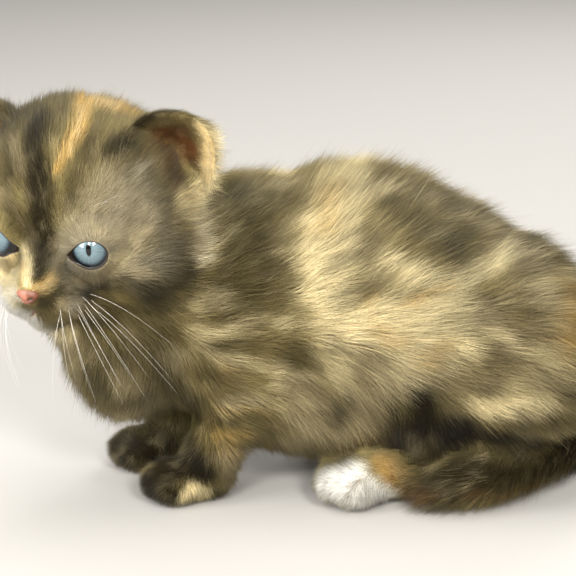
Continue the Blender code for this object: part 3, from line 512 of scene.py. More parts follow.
def strokeDistance(points, stroke):
    # distance to the nearest link between two places, as a share of the radius there
    places = [np.array(place, float) for place in stroke]
    links = list(zip(places, places[1:])) or [(places[0], places[0])]
    nearest = np.full(len(points), 1e9)
    for start, end in links:
        way = end[:3] - start[:3]
        t = np.clip((points - start[:3]) @ way / max(way @ way, 1e-9), 0, 1)
        gap = np.linalg.norm(points - start[:3] - t[:, None] * way, axis=1)
        nearest = np.minimum(nearest, gap / (start[3] + t * (end[3] - start[3])))
    return nearest


def toned(points, shares):
    # the strokes are laid in turn: each takes its cover of a point and leaves the rest to what lies there, so
    # the shares of the tones add up to 1; noise makes a stroke's edge wander and locks of hair break it up
    make, names = markingMake, list(tones)
    weights = np.zeros((len(points), len(names)))
    weights[:, 0] = 1
    warp = np.stack([softNoise(points, make["warpSize"], seed) for seed in (11, 12, 13)], axis=1)
    lock = nearestLock(points, make["lockSize"], 20)[1] - 0.5
    grain = softNoise(points, make["grainSize"], 15)
    inHead = toHead(points)

    def lay(tone, share):
        # every tone keeps 1 - share of what it has, and this one gains share
        weights[:] = weights * (1 - share[:, None])
        weights[:, names.index(tone)] += share

    def shareOf(tone):
        return weights[:, names.index(tone)]

    def paint(where, strokes, group, label):
        # share = cover · group · easedStep of the wandering distance to the stroke
        for tone, cover, *stroke in strokes:
            inside = strokeDistance(where + warp * make["wander"][label], stroke)
            share = easedStep(*make["edge"], inside + lock * make["byLock"] + grain * make["byGrain"])
            lay(tone, share * cover * np.clip(group, 0, 1))

    mirrored = points * (1, -1, 1) + (make["farShift"], 2 * bodyMiddle, 0)
    farSide = easedStep(*(bodyMiddle + reach for reach in make["farSide"]), points[:, 1])
    body, foreleg, hindfoot, head, ear, tail = shares.T
    limb = foreleg + hindfoot
    paint(points, bodyStrokes, body * (1 - farSide), "body")
    paint(mirrored, bodyStrokes, body * farSide, "farBody")
    paint(points, limbStrokes, limb, "limb")
    paint(points, farFootStrokes, easedStep(*make["farFeet"], points[:, 1]) * limb, "farFoot")
    paint(points, tailStrokes, tail, "tail")
    paint(inHead, headStrokes, head + ear, "head")
    paint(inHead, earStrokes, ear + make["earOnHead"] * head * (inHead[:, 2] > make["earAbove"]), "ear")

    # dark and pale streaks along the body, then ticking: a lock here and there is dark or pale
    streak = softNoise(points / (make["streakLong"], 1, 1), make["streakSize"], 16) * body
    for sign, tone in ((1, "sable"), (-1, "cream")):
        share = easedStep(*(sign * end for end in make["streakRange"]), streak) * make["streaks"]
        lay(tone, share * (1 - shareOf("white")) * (1 - make["streaksLeftInDark"] * shareOf("sable")))
    ticked = lock + make["tickingByGrain"] * grain
    for sign, tone in ((1, "sable"), (-1, "fawn")):
        share = easedStep(*(sign * end for end in make["tickingRange"]), ticked)
        lay(tone, share * make["ticking"] * (1 - shareOf("white")))
    return weights


# meshes from whole arrays

def meshFromArrays(name, vertices, faces):
    # points in millimetres and faces of three or four corners go into a smooth mesh in metres
    mesh = bpy.data.meshes.new(name)
    mesh.vertices.add(len(vertices))
    mesh.vertices.foreach_set("co", (vertices * 0.001).astype(np.float32).ravel())
    mesh.loops.add(faces.size)
    mesh.loops.foreach_set("vertex_index", faces.astype(np.int32).ravel())
    mesh.polygons.add(len(faces))
    mesh.polygons.foreach_set("loop_start", np.arange(0, faces.size, faces.shape[1], dtype=np.int32))
    mesh.polygons.foreach_set("use_smooth", np.full(len(faces), True))
    mesh.update(calc_edges=True)
    mesh.validate()
    piece = bpy.data.objects.new(name, mesh)
    bpy.context.scene.collection.objects.link(piece)
    return piece


def keepVectors(piece, name, vectors):
    # one vector for each point of the mesh
    layer = piece.data.attributes.new(name, "FLOAT_VECTOR", "POINT")
    layer.data.foreach_set("vector", vectors.astype(np.float32).ravel())


def keepTones(piece, weights):
    # each tone after the first is kept as its share of the tones up to it, so six mixes in a row give the sum
    running = np.cumsum(weights, axis=1)
    parts = weights / np.maximum(running, 1e-6)
    keepVectors(piece, "tonesOne", parts[:, 1:4])
    keepVectors(piece, "tonesTwo", parts[:, 4:7])


# skin: one closed surface inside the CAD flesh by the depth of the coat

skinMake = {
    "voxel": 1.15, "eased": 4, "shareOfLift": 0.92, "mostInEar": 0.85, "earFrom": 0.4,
    "shareRounds": 10, "normalRounds": 4, "depthRounds": 12, "placeRounds": 2,
}


def fleshNodes():
    # every node of the CAD model but the eyes
    return [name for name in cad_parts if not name.startswith("eye")]


def joinedFlesh():
    # the flesh solids in one mesh, with the group that each face belongs to
    joined = bmesh.new()
    owners = []
    for name in fleshNodes():
        before = len(joined.faces)
        joined.from_mesh(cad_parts[name].data)
        owners += [groups.index(groupOfNode[name])] * (len(joined.faces) - before)
    return joined, owners


def neighbourMean(edges, values, rounds):
    # in each round a value moves half way to the mean of its neighbours' values, by sums over the edges
    count = np.bincount(edges.ravel(), minlength=len(values)).astype(float)[:, None]
    for _ in range(rounds):
        total = np.zeros_like(values)
        for k in range(values.shape[1]):
            total[:, k] = np.bincount(edges[:, 0], values[edges[:, 1], k], len(values))
            total[:, k] += np.bincount(edges[:, 1], values[edges[:, 0], k], len(values))
        values = 0.5 * values + 0.5 * total / np.maximum(count, 1)
    return values


def makeSkin():
    # one shell round the joined solids, moved in along its normals by length · sin(lift) · shareOfLift, which
    # is how far the coat stands off it
    joined, owners = joinedFlesh()
    tree = BVHTree.FromBMesh(joined)
    bmesh.ops.remove_doubles(joined, verts=joined.verts, dist=1e-6)
    flesh = bpy.data.meshes.new("flesh")
    joined.to_mesh(flesh)
    joined.free()
    form = bpy.data.objects.new("flesh", flesh)
    bpy.context.scene.collection.objects.link(form)
    remesh = form.modifiers.new("oneSkin", "REMESH")
    remesh.mode = "VOXEL"
    remesh.voxel_size = skinMake["voxel"] * 0.001
    ease = form.modifiers.new("eased", "SMOOTH")
    ease.iterations = skinMake["eased"]
    graph = bpy.context.evaluated_depsgraph_get()
    shell = bpy.data.meshes.new_from_object(form.evaluated_get(graph))
    bpy.data.objects.remove(form)

    count = len(shell.vertices)
    points, normals = np.zeros(count * 3), np.zeros(count * 3)
    edges, faces = np.zeros(len(shell.edges) * 2, np.int32), np.zeros(len(shell.loops), np.int32)
    shell.vertices.foreach_get("co", points)
    shell.vertex_normals.foreach_get("vector", normals)
    shell.edges.foreach_get("vertices", edges)
    shell.loops.foreach_get("vertex_index", faces)
    points, normals = points.reshape(-1, 3), normals.reshape(-1, 3)
    edges, faces = edges.reshape(-1, 2), faces.reshape(-1, 4)
    nearest = [tree.find_nearest(point)[2] for point in points]  # the tree answers for one place at a time
    shares = np.eye(len(groups))[np.array(owners)[nearest]]
    shares = neighbourMean(edges, shares, skinMake["shareRounds"])
    points *= 1000
    normals = unit(neighbourMean(edges, normals, skinMake["normalRounds"]))
    lie, length, lift = combed(points, shares, normals)
    depth = length * np.sin(np.radians(lift)) * skinMake["shareOfLift"]
    inEar = shares[:, groups.index("ear")] > skinMake["earFrom"]
    depth = np.where(inEar, np.minimum(depth, skinMake["mostInEar"]), depth)
    depth = neighbourMean(edges, depth[:, None], skinMake["depthRounds"])
    points = neighbourMean(edges, points - normals * depth, skinMake["placeRounds"])
    return meshFromArrays("skin", points, faces), points, faces, shares


# coat: thin tapered tufts of three sides, rooted in the skin; layers says how many lie over each place

coatMake = {
    "sunk": 0.35, "thickness": 0.5, "mostTriangles": 199000, "stations": (0, 1), "toneWander": 0.6,
    "toneAt": 0.55, "thinnerBelow": 0.6, "belowFrom": (12, 2), "soleHeight": 1.2, "eyeGap": 0.1,
    "socketGap": 1.5, "facesAway": 0.1, "soleFacing": -0.6, "patch": 0.003, "margin": 0.01,
    "thinnest": 0.09, "widerBy": 0.014, "widths": (0.8, 0.4),
}
coatPieces = {
    name: {"group": group, "axis": axis, "slot": slot, "layers": layers, "width": width}
    for name, group, axis, slot, layers, width in (
        ("coatHead", "head", (0, 0, 1), "olive_brown_coat", 4.6, 0.9),
        ("coatEars", "ear", (0, 1, 0), "olive_brown_coat", 4.4, 0.85),
        ("coatBody", "body", (1, 0, 0), "olive_brown_coat", 5.6, 0.78),
        ("coatForelegs", "foreleg", (0, 0, 1), "dark_brown_coat", 5.0, 0.9),
        ("coatHindfeet", "hindfoot", (1, 0, 0), "white_coat", 5.0, 0.9),
        ("coatTail", "tail", (0, 0, 1), "dark_brown_coat", 6.0, 0.75),
    )
}

# how a hair departs from its comb: turns and lifts in degrees, the rest as shares of its length
hairMake = {
    "bigLock": 6.0, "smallLock": 2.0, "bigTurn": 16, "smallTurn": 14, "turnSpread": 7,
    "shortest": 0.85, "lockLonger": 0.15, "lengthSpread": 0.12, "flattest": 0.85, "lockRaised": 0.3,
    "liftSpread": 4.5, "swaySpread": 0.07, "lockSway": 0.2, "curl": 0.3, "smallPull": 0.15, "bigPull": 0.06,
    "guards": 0.08, "guardLonger": 1.3, "guardRaised": 5, "guardFiner": 0.7, "lowest": 0.12,
}

# the cup of an ear in the head's own axes: its middle, the way it opens, and how bare and short-haired it is
earCup = {
    "middle": (-4.0, 26.5, 20.0), "way": (0.907, 0.385, -0.173), "reach": (15, 11), "facing": (0.35, 0.65),
    "bare": 0.55, "shorter": 0.6,
}


def tuftWidth(length):
    # across the root of a tuft: thinnest + widerBy · length
    return coatMake["thinnest"] + coatMake["widerBy"] * length


def sampledRoots(points, faces, shares, normals):
    # tufts wanted on a triangle = area · layers / (half the width · the length of a tuft); they are evenly
    # spaced along the running sum of these, so that every part of the skin gets its own number
    triangles = np.concatenate((faces[:, (0, 1, 2)], faces[:, (0, 2, 3)]))
    a, b, c = (points[triangles[:, k]] for k in range(3))
    area = np.linalg.norm(np.cross(b - a, c - a), axis=1) / 2
    middle = (a + b + c) / 3
    itsShares = shares[triangles[:, 0]]
    _, length, _ = combed(middle, itsShares, normals[triangles[:, 0]])
    layers, width = (
        itsShares @ np.array([coatPieces[name][key] for name in coatOfGroup]) for key in ("layers", "width"))
    layers *= 1 - coatMake["thinnerBelow"] * easedStep(*coatMake["belowFrom"], middle[:, 2])
    running = np.cumsum(area * layers / (0.5 * tuftWidth(length) * width * length))
    count = int(running[-1])
    pick = np.searchsorted(running, (np.arange(count) + rng.random(count)) * running[-1] / count)
    pick = np.minimum(pick, len(triangles) - 1)
    u, v = rng.random(count), rng.random(count)
    flip = u + v > 1
    u, v = np.where(flip, 1 - u, u), np.where(flip, 1 - v, v)
    weights = np.stack((1 - u - v, u, v), axis=1)[:, :, None]
    corners = triangles[pick]
    roots = (points[corners] * weights).sum(axis=1)
    rootNormals = unit((normals[corners] * weights).sum(axis=1))
    return roots, rootNormals, (shares[corners] * weights).sum(axis=1)


def tuftArrays(path, width, side, thickness):
    # three points round each station of the path but the last, which is the tip; faces look outwards
    count, stations = path.shape[:2]
    along = unit(np.gradient(path, axis=1))
    out = unit(np.cross(side[:, None, :], along))
    rings = []
    for angle in (math.radians(90), math.radians(210), math.radians(330)):
        rings.append(side[:, None, :] * math.cos(angle) * width[:, :, None] / 2
                     + out * math.sin(angle) * width[:, :, None] / 2 * thickness)
    body = np.stack([path + ring for ring in rings], axis=2)[:, :-1]
    vertices = np.concatenate((body.reshape(count, -1, 3), path[:, -1:]), axis=1)
    each = 3 * (stations - 1) + 1
    faces = []
    for s in range(stations - 2):
        for k in range(3):
            a, b = 3 * s + k, 3 * s + (k + 1) % 3
            faces += [(a, b, b + 3), (a, b + 3, a + 3)]
    last = 3 * (stations - 2)
    faces += [(last + k, last + (k + 1) % 3, each - 1) for k in range(3)]
    triangles = np.array(faces)[None] + (np.arange(count) * each)[:, None, None]
    return vertices.reshape(-1, 3), triangles.reshape(-1, 3), each


def hairPaths(roots, normals, lie, length, lift, stations):
    # s from 0 to 1 goes out along the lie by cos(lift) s and up by sin(lift) (1.3 s - 0.3 s²), sways sideways
    # by s², and the tips of a lock draw together by s^1.5; one hair in twelve is a longer, finer guard hair
    make, count = hairMake, len(roots)
    bigPlace, bigNumber = nearestLock(roots, make["bigLock"], 50)
    smallPlace, smallNumber = nearestLock(roots, make["smallLock"], 60)
    side = unit(np.cross(normals, lie))
    turn = np.radians((bigNumber - 0.5) * make["bigTurn"] + (smallNumber - 0.5) * make["smallTurn"]
                      + rng.normal(0, make["turnSpread"], count))
    lie = lie * np.cos(turn)[:, None] + side * np.sin(turn)[:, None]
    side = unit(np.cross(normals, lie))
    guard = rng.random(count) < make["guards"]
    length = length * (make["shortest"] + make["lockLonger"] * smallNumber
                       + rng.normal(0, make["lengthSpread"], count)) * np.where(guard, make["guardLonger"], 1)
    rise = np.radians(lift * (make["flattest"] + make["lockRaised"] * smallNumber)
                      + rng.normal(0, make["liftSpread"], count) + make["guardRaised"] * guard)
    sway = (rng.normal(0, make["swaySpread"], count) + (bigNumber - 0.5) * make["lockSway"])[:, None]
    s = np.array(stations)[None, :]
    out = np.cos(rise)[:, None] * s * length[:, None]
    up = np.sin(rise)[:, None] * ((1 + make["curl"]) * s - make["curl"] * s**2) * length[:, None]
    across = sway * s**2 * length[:, None]
    path = roots[:, None] + lie[:, None] * out[..., None] + normals[:, None] * up[..., None]
    path = path + side[:, None] * across[..., None]
    for place, pull in ((smallPlace, make["smallPull"]), (bigPlace, make["bigPull"])):
        gap = place - roots
        gap -= lie * (gap * lie).sum(axis=1, keepdims=True)
        gap -= normals * (gap * normals).sum(axis=1, keepdims=True)
        reach = np.minimum(1, 0.5 * length / np.maximum(np.linalg.norm(gap, axis=1), 1e-6))
        path = path + gap[:, None] * (s**1.5 * pull * reach[:, None])[..., None]
    path[:, 0] -= normals * np.minimum(coatMake["sunk"], 0.1 * length)[:, None]
    path[..., 2] = np.maximum(path[..., 2], make["lowest"])
    return path, side, smallNumber, np.where(guard, make["guardFiner"], 1.0)


def rootChart(roots, axis):
    # an unwrap of the skin round a long axis: how far along it and the angle round it, in a narrow margin
    axis = unit(np.array(axis, float))
    middle = roots.mean(axis=0)
    up = np.array((0, 0, 1.0)) if abs(axis[2]) < 0.8 else np.array((1.0, 0, 0))
    one = unit(np.cross(axis, up))
    two = np.cross(axis, one)
    along = (roots - middle) @ axis
    angle = np.arctan2((roots - middle) @ one, (roots - middle) @ two)
    along = (along - along.min()) / max(np.ptp(along), 1e-6)
    chart = np.stack((along, angle / (2 * math.pi) + 0.5), axis=1)
    return coatMake["margin"] + (1 - 2 * coatMake["margin"]) * chart


def chartedTufts(piece, triangles, stations, chart):
    # every tuft's faces lie on a small patch at its root's place on the chart
    across = np.tile((-0.5, 0.5, 0.0), len(stations) - 1)
    up = np.repeat(stations[:-1], 3)
    offsets = np.concatenate((np.stack((across, up), axis=1), [(0.0, 1.0)])) * coatMake["patch"]
    perVertex = (chart[:, None] + offsets[None]).reshape(-1, 2)
    layer = piece.data.uv_layers.new(name="OFBake")
    layer.data.foreach_set("uv", perVertex[triangles.ravel()].astype(np.float32).ravel())


def makeTufts(name, roots, normals, shares, combing, material, make):
    # combing holds the lie, the length and the lift of each tuft; its tones are those of a place past its
    # middle, a little astray; strand holds its own random number, its lock's number and how far along it is
    stations = np.array(coatMake["stations"])
    lie, length, lift = combing
    path, side, lockNumber, finer = hairPaths(roots, normals, lie, length, lift, stations)
    least, more = coatMake["widths"]
    width = tuftWidth(length) * make["width"] * finer * (least + more * rng.random(len(roots)))
    width = np.repeat(width[:, None], len(stations), axis=1)
    vertices, triangles, each = tuftArrays(path, width, side, coatMake["thickness"])
    piece = meshFromArrays(name, vertices, triangles)
    astray = rng.normal(0, coatMake["toneWander"], roots.shape)
    toneAt = roots + (path[:, -1] - roots) * coatMake["toneAt"] + astray
    keepTones(piece, np.repeat(toned(toneAt, shares), each, axis=0))
    along = np.concatenate((np.repeat(stations[:-1], 3), [1.0]))
    strand = np.stack((
        np.repeat(rng.random(len(roots)), each), np.repeat(lockNumber, each), np.tile(along, len(roots)),
    ), axis=1)
    keepVectors(piece, "strand", strand)
    chartedTufts(piece, triangles, stations, rootChart(roots, make["axis"]))
    piece.data.materials.append(material)
    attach(piece, "root")
    print(name, len(roots), "tufts")


def inEarCup(roots, normals, shares):
    # 1 on skin that faces out of the cup of an ear
    inHead = toHead(roots)
    facing = normals @ headTurned.T
    cup = np.zeros(len(roots))
    for side in (-1, 1):
        mirror = np.array((1, side, 1))
        near = easedStep(*earCup["reach"], np.linalg.norm(inHead - earCup["middle"] * mirror, axis=1))
        cup = np.maximum(cup, near * easedStep(*earCup["facing"], facing @ (earCup["way"] * mirror)))
    return cup * np.clip(shares[:, groups.index("ear")] * 2, 0, 1)


def smoothNormals(points, faces):
    # every corner takes the cross product of its face's diagonals, eased over its neighbours
    corner = [points[faces[:, k]] for k in range(4)]
    flat = np.cross(corner[2] - corner[0], corner[3] - corner[1])
    normals = np.zeros_like(points)
    for k, axis in itertools.product(range(4), range(3)):
        normals[:, axis] += np.bincount(faces[:, k], flat[:, axis], len(points))
    edges = np.concatenate([faces[:, (k, (k + 1) % 4)] for k in range(4)])
    return unit(neighbourMean(edges, unit(normals), 2))


def growCoat(points, faces, shares, material, mouthLine):
    # roots all over the skin, less those in the eye sockets, under the soles, on the nose and along the lips;
    # each piece takes the roots of its own group, and a piece with too many triangles is parted along x
    normals = smoothNormals(points, faces)
    roots, rootNormals, rootShares = sampledRoots(points, faces, shares, normals)
    cup = inEarCup(roots, rootNormals, rootShares)
    keep = rng.random(len(roots)) > cup * earCup["bare"]
    for eye in ("eye_left", "eye_right"):
        fromEye = roots - middleOf(eye)
        gap = np.linalg.norm(fromEye, axis=1)
        facesAway = (rootNormals * fromEye).sum(axis=1) > coatMake["facesAway"] * gap
        keep &= (gap > eyeMake["radius"] + coatMake["socketGap"]) | facesAway
        keep &= gap > eyeMake["radius"] + coatMake["eyeGap"]
    keep &= ~((roots[:, 2] < coatMake["soleHeight"]) & (rootNormals[:, 2] < coatMake["soleFacing"]))
    keep &= np.linalg.norm(roots - fromHead(noseMake["middle"]), axis=1) > noseMake["bare"]
    nearMouth = np.linalg.norm(roots - fromHead(mouthMake["middle"]), axis=1) < mouthMake["within"]
    lineGap = np.min([np.linalg.norm(roots[nearMouth] - place, axis=1) for place in mouthLine], axis=0)
    keep[nearMouth] &= lineGap > mouthMake["bare"]
    roots, rootNormals, rootShares, cup = roots[keep], rootNormals[keep], rootShares[keep], cup[keep]
    lie, length, lift = combed(roots, rootShares, rootNormals)
    length = length * (1 - earCup["shorter"] * cup)
    main = rootShares.argmax(axis=1)
    trianglesEach = 6 * (len(coatMake["stations"]) - 2) + 3
    for name, make in coatPieces.items():
        chosen = np.flatnonzero(main == groups.index(make["group"]))
        chosen = chosen[np.argsort(roots[chosen, 0])]
        parts = max(1, math.ceil(len(chosen) * trianglesEach / coatMake["mostTriangles"]))
        for k, part in enumerate(np.array_split(chosen, parts)):
            label = name if parts == 1 else name + str(k + 1)
            combing = lie[part], length[part], lift[part]
            makeTufts(label, roots[part], rootNormals[part], rootShares[part], combing, material, make)


# materials

def fromHex(code):
    # sRGB hex to linear light: a dark part is divided by 12.92, any other is ((part + 0.055) / 1.055)^2.4
    parts = [int(code[k:k + 2], 16) / 255 for k in (1, 3, 5)]
    linear = [p / 12.92 if p <= 0.04045 else ((p + 0.055) / 1.055) ** 2.4 for p in parts]
    return (*linear, 1.0)


def newMaterial(name):
    # a material with its tree of nodes and its shader
    material = bpy.data.materials.new(name)
    material.use_nodes = True
    return material, material.node_tree, material.node_tree.nodes["Principled BSDF"]


def plug(tree, node, inputs):
    # each input takes either a value or a socket to link
    for key, value in inputs.items():
        if isinstance(value, bpy.types.NodeSocket):
            tree.links.new(value, node.inputs[key])
        else:
            node.inputs[key].default_value = value


def addNode(tree, kind, settings, inputs):
    # a node with its settings and its inputs
    node = tree.nodes.new("ShaderNode" + kind)
    for key, value in settings.items():
        setattr(node, key, value)
    plug(tree, node, inputs)
    return node


# settings that several nodes share; a mix takes its share at 0 and its colours at 6 and 7
blend = {"data_type": "RGBA", "blend_type": "MIX"}
multiply = {"data_type": "RGBA", "blend_type": "MULTIPLY"}
eased = {"interpolation_type": "SMOOTHSTEP"}


def toneColour(tree):
    # olive, mixed in turn with each further tone by the share that was kept for it
    colour, shares = fromHex(tones["olive"]), []
    for name in ("tonesOne", "tonesTwo"):
        kept = addNode(tree, "Attribute", {"attribute_name": name}, {}).outputs["Vector"]
        shares += list(addNode(tree, "SeparateXYZ", {}, {0: kept}).outputs)
    for share, name in zip(shares, list(tones)[1:]):
        tone = fromHex(tones[name])
        colour = addNode(tree, "Mix", blend, {0: share, 6: colour, 7: tone}).outputs[2]
    return colour


# brightness by a tuft's own number, its lock's and the place along it: where it is full, darkest, palest
# along a tuft it is darker at the root, partly as painted shade deep in the coat, and paler towards the tip,
# as the hair's own tips are
hairShade = ((1.0, 0.62, 1.40), (1.0, 0.93, 1.07), (0.8, 0.70, 1.08))


def makeCoatMaterial():
    # guard hair of a kitten's coat: dull, with a faint sheen, darker at the root (partly painted shade) and
    # paler past the middle
    material, tree, shader = newMaterial("kittenGuardHair")
    strand = addNode(tree, "Attribute", {"attribute_name": "strand"}, {}).outputs["Vector"]
    parts = addNode(tree, "SeparateXYZ", {}, {0: strand}).outputs
    bright = 1.0
    for part, (full, darkest, palest) in zip(parts, hairShade):
        share = addNode(tree, "MapRange", {}, {0: part, 2: full, 3: darkest, 4: palest}).outputs[0]
        bright = addNode(tree, "Math", {"operation": "MULTIPLY"}, {0: bright, 1: share}).outputs[0]
    grey = addNode(tree, "CombineXYZ", {}, {0: bright, 1: bright, 2: bright}).outputs[0]
    colour = addNode(tree, "Mix", multiply, {0: 1.0, 6: toneColour(tree), 7: grey}).outputs[2]
    plug(tree, shader, {
        "Base Color": colour, "Roughness": 0.62, "Specular IOR Level": 0.08, "Sheen Weight": 0.03,
        "Sheen Roughness": 0.5,
    })
    return material


def makeSkinMaterial():
    # skin with its thick undercoat: the coat's own tones, darkened by painted shade between the tufts, with a
    # nap of 0.45 mm (2200 in a metre)
    material, tree, shader = newMaterial("kittenUndercoat")
    # the multiply by #b9aea0 is painted shade for the skin lying between the tufts
    colour = addNode(tree, "Mix", multiply, {0: 1.0, 6: toneColour(tree), 7: fromHex("#b9aea0")})
    place = addNode(tree, "TexCoord", {}, {}).outputs["Object"]
    nap = addNode(tree, "TexNoise", {}, {"Vector": place, "Scale": 2200.0, "Detail": 3.0}).outputs[0]
    bump = addNode(tree, "Bump", {}, {"Strength": 0.6, "Distance": 0.0004, "Height": nap})
    plug(tree, shader, {
        "Base Color": colour.outputs[2], "Normal": bump.outputs[0], "Roughness": 0.8,
        "Specular IOR Level": 0.15,
    })
    return material


# grids of points

def polarGrid(rows, columns):
    # angles from the front pole to the back one down the rows, and angles round it along the columns
    polar = np.linspace(0, math.pi, rows)[:, None] * np.ones((1, columns))
    around = np.ones((rows, 1)) * np.linspace(0, 2 * math.pi, columns, endpoint=False)[None, :]
    return polar, around


def waysRound(axes, polar, around):
    # cos(polar) · out + sin(polar) · (cos(around) · away + sin(around) · up)
    out, away, up = axes
    outwards = np.cos(around)[..., None] * away + np.sin(around)[..., None] * up
    return np.cos(polar)[..., None] * out + np.sin(polar)[..., None] * outwards


def polesOf(grid):
    # the grid's points with each end row reduced to one point
    first, between, last = grid[:1, :1], grid[1:-1], grid[-1:, :1]
    return np.concatenate([part.reshape(-1, 3) for part in (first, between, last)])


def gridPiece(name, grid, closedAround=True, poles=False, flip=False):
    # two triangles between four neighbours of the grid, and a fan round each pole
    rows, columns = grid.shape[:2]
    if poles:
        vertices = polesOf(grid)
        index = 1 + np.arange((rows - 2) * columns).reshape(rows - 2, columns)
    else:
        vertices = grid.reshape(-1, 3)
        index = np.arange(rows * columns).reshape(rows, columns)
    following = np.roll(index, -1, axis=1)
    here = index if closedAround else index[:, :-1]
    after = following if closedAround else following[:, :-1]
    a, b, c, d = here[:-1], after[:-1], after[1:], here[1:]
    triangles = np.concatenate([np.stack(t, axis=-1).reshape(-1, 3) for t in ((a, d, c), (a, c, b))])
    if poles:
        first = np.stack((np.zeros(columns, int), index[0], following[0]), axis=-1)
        last = np.stack((np.full(columns, len(vertices) - 1), following[-1], index[-1]), axis=-1)
        triangles = np.concatenate((triangles, first, last))
    if flip:
        triangles = triangles[:, ::-1]
    return meshFromArrays(name, vertices, triangles)


# eyes

eyeMake = {
    "radius": 7.6, "corneaRadius": 5.4, "corneaHeight": 0.75, "pupilWide": 0.66, "pupilHigh": 1.65,
    "pupilEdge": (0.80, 1.20), "splay": 20.0, "gazeUp": 15.5, "upward": 0.05, "halfWide": 4.2,
    "halfHigh": 3.6, "corner": 2.0, "cornerPower": 9, "cornerDrop": 0.45, "grid": (72, 72),
}
# tones of the iris by the distance from its middle, as a share of the ball's radius
irisStops = (
    (0.0, "#56666b"), (0.22, "#66787e"), (0.45, "#596a70"), (0.53, "#3a4850"), (0.59, "#11161a"),
    (0.65, "#0a0b0c"), (0.90, "#2a1e17"),
)


def eyeAxes(side, raised=0.0):
    # out of the eye, away from the nose and up, in the model's own axes; raised turns them up, in degrees
    splay, lift = math.radians(eyeMake["splay"]), math.radians(raised)
    out = unit(np.array((math.cos(splay), side * math.sin(splay), eyeMake["upward"] + math.tan(lift))))
    away = unit(np.cross((0, 0, 1.0), out)) * side
    up = np.cross(out, away) * side
    return directionFromHead(out), directionFromHead(away), directionFromHead(up)


def makeEye(side, label, material):
    # a ball whose front bulges by height · cos²(a quarter turn · distance / the cornea's radius); rows run
    # from the front pole to the back
    polar, around = polarGrid(*eyeMake["grid"])
    across = eyeMake["radius"] * np.sin(polar)
    quarter = np.clip(across / eyeMake["corneaRadius"], 0, 1) * math.pi / 2
    bulge = eyeMake["corneaHeight"] * np.cos(quarter) ** 2
    reach = eyeMake["radius"] + np.where(polar < math.pi / 2, bulge, 0)
    ways = waysRound(eyeAxes(side, eyeMake["gazeUp"]), polar, around)
    grid = middleOf("eye_" + label) + ways * reach[..., None]
    piece = gridPiece("eyeball_" + label, grid, poles=True, flip=side < 0)
    local = np.stack((across * np.cos(around), across * np.sin(around), np.cos(polar)), axis=-1)
    keepVectors(piece, "irisPlace", polesOf(local))
    piece.data.materials.append(material)
    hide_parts("eye_" + label)
    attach(piece, "root")


def makeEyeMaterial():
    # a wet cornea over a pale blue iris: fine rays, a dark rim and an upright slit, by distance from the
    # middle; the rays are noise by the way from the middle, so their scale is 9 to a unit vector
    material, tree, shader = newMaterial("wetCorneaOverIris")
    place = addNode(tree, "Attribute", {"attribute_name": "irisPlace"}, {}).outputs["Vector"]
    split = addNode(tree, "SeparateXYZ", {}, {0: place}).outputs
    flat = addNode(tree, "CombineXYZ", {}, {0: split[0], 1: split[1]}).outputs[0]
    distance = addNode(tree, "VectorMath", {"operation": "LENGTH"}, {0: flat}).outputs["Value"]
    way = addNode(tree, "VectorMath", {"operation": "NORMALIZE"}, {0: flat}).outputs[0]
    rays = addNode(tree, "TexNoise", {}, {"Vector": way, "Scale": 9.0, "Detail": 4.0}).outputs[0]
    share = addNode(tree, "Math", {"operation": "DIVIDE"}, {0: distance, 1: eyeMake["radius"]})
    ramp = addNode(tree, "ValToRGB", {}, {0: share.outputs[0]})
    elements = ramp.color_ramp.elements
    elements[0].position, elements[0].color = irisStops[0][0], fromHex(irisStops[0][1])
    elements[1].position, elements[1].color = irisStops[-1][0], fromHex(irisStops[-1][1])
    for position, code in irisStops[1:-1]:
        elements.new(position).color = fromHex(code)
    ray = addNode(tree, "MapRange", {}, {0: rays, 1: 0.3, 2: 0.7, 3: 0.72, 4: 1.2}).outputs[0]
    grey = addNode(tree, "CombineXYZ", {}, {0: ray, 1: ray, 2: ray}).outputs[0]
    iris = addNode(tree, "Mix", multiply, {0: 1.0, 6: ramp.outputs[0], 7: grey}).outputs[2]
    slit = addNode(tree, "VectorMath", {"operation": "DIVIDE"}, {
        0: flat, 1: (eyeMake["pupilWide"], eyeMake["pupilHigh"], 1.0)}).outputs[0]
    fromSlit = addNode(tree, "VectorMath", {"operation": "LENGTH"}, {0: slit}).outputs["Value"]
    inner, outer = eyeMake["pupilEdge"]
    pupil = addNode(tree, "MapRange", eased, {0: fromSlit, 1: inner, 2: outer, 3: 1.0, 4: 0.0})
    colour = addNode(tree, "Mix", blend, {0: pupil.outputs[0], 6: iris, 7: fromHex("#07080a")})
    plug(tree, shader, {
        "Base Color": colour.outputs[2], "Roughness": 0.25, "IOR": 1.38, "Specular IOR Level": 0.0,
        "Coat Weight": 0.8, "Coat Roughness": 0.02,
    })
    return material


def lidOutline(count):
    # an oval, drawn out towards the nose at its inner corner by the ninth power of -cos, as angles from the
    # eye's axis and round it
    angle = np.linspace(0, 2 * math.pi, count, endpoint=False)
    pull = eyeMake["corner"] * np.maximum(-np.cos(angle), 0) ** eyeMake["cornerPower"]
    across = eyeMake["halfWide"] * np.cos(angle) - pull
    up = eyeMake["halfHigh"] * np.sin(angle) - pull * eyeMake["cornerDrop"]
    return np.arcsin(np.hypot(across, up) / eyeMake["radius"]), np.arctan2(up, across)


# step goes from 0 at the rim to 1 at an angle of out degrees from the eye's axis
lidMake = {
    "columns": 72, "out": 74.0, "step": (-0.02, 0.0, 0.02, 0.05, 0.1, 0.2, 0.34, 0.5, 0.7, 1.0),
    "height": (0.02, 0.20, 0.32, 0.38, 0.42, 0.48, 0.56, 0.62, 0.52, -0.2),
    "upperFold": 0.30, "foldAbove": 0.1, "foldRise": 3, "hairs": 12000, "hairFrom": 0.05, "hairSpan": 0.85,
    "hairLength": (1.2, 3.8), "hairGrows": (0.05, 0.6), "hairLift": 16, "hairLaidFlat": 0.85,
    "hairAim": 0.05,
}


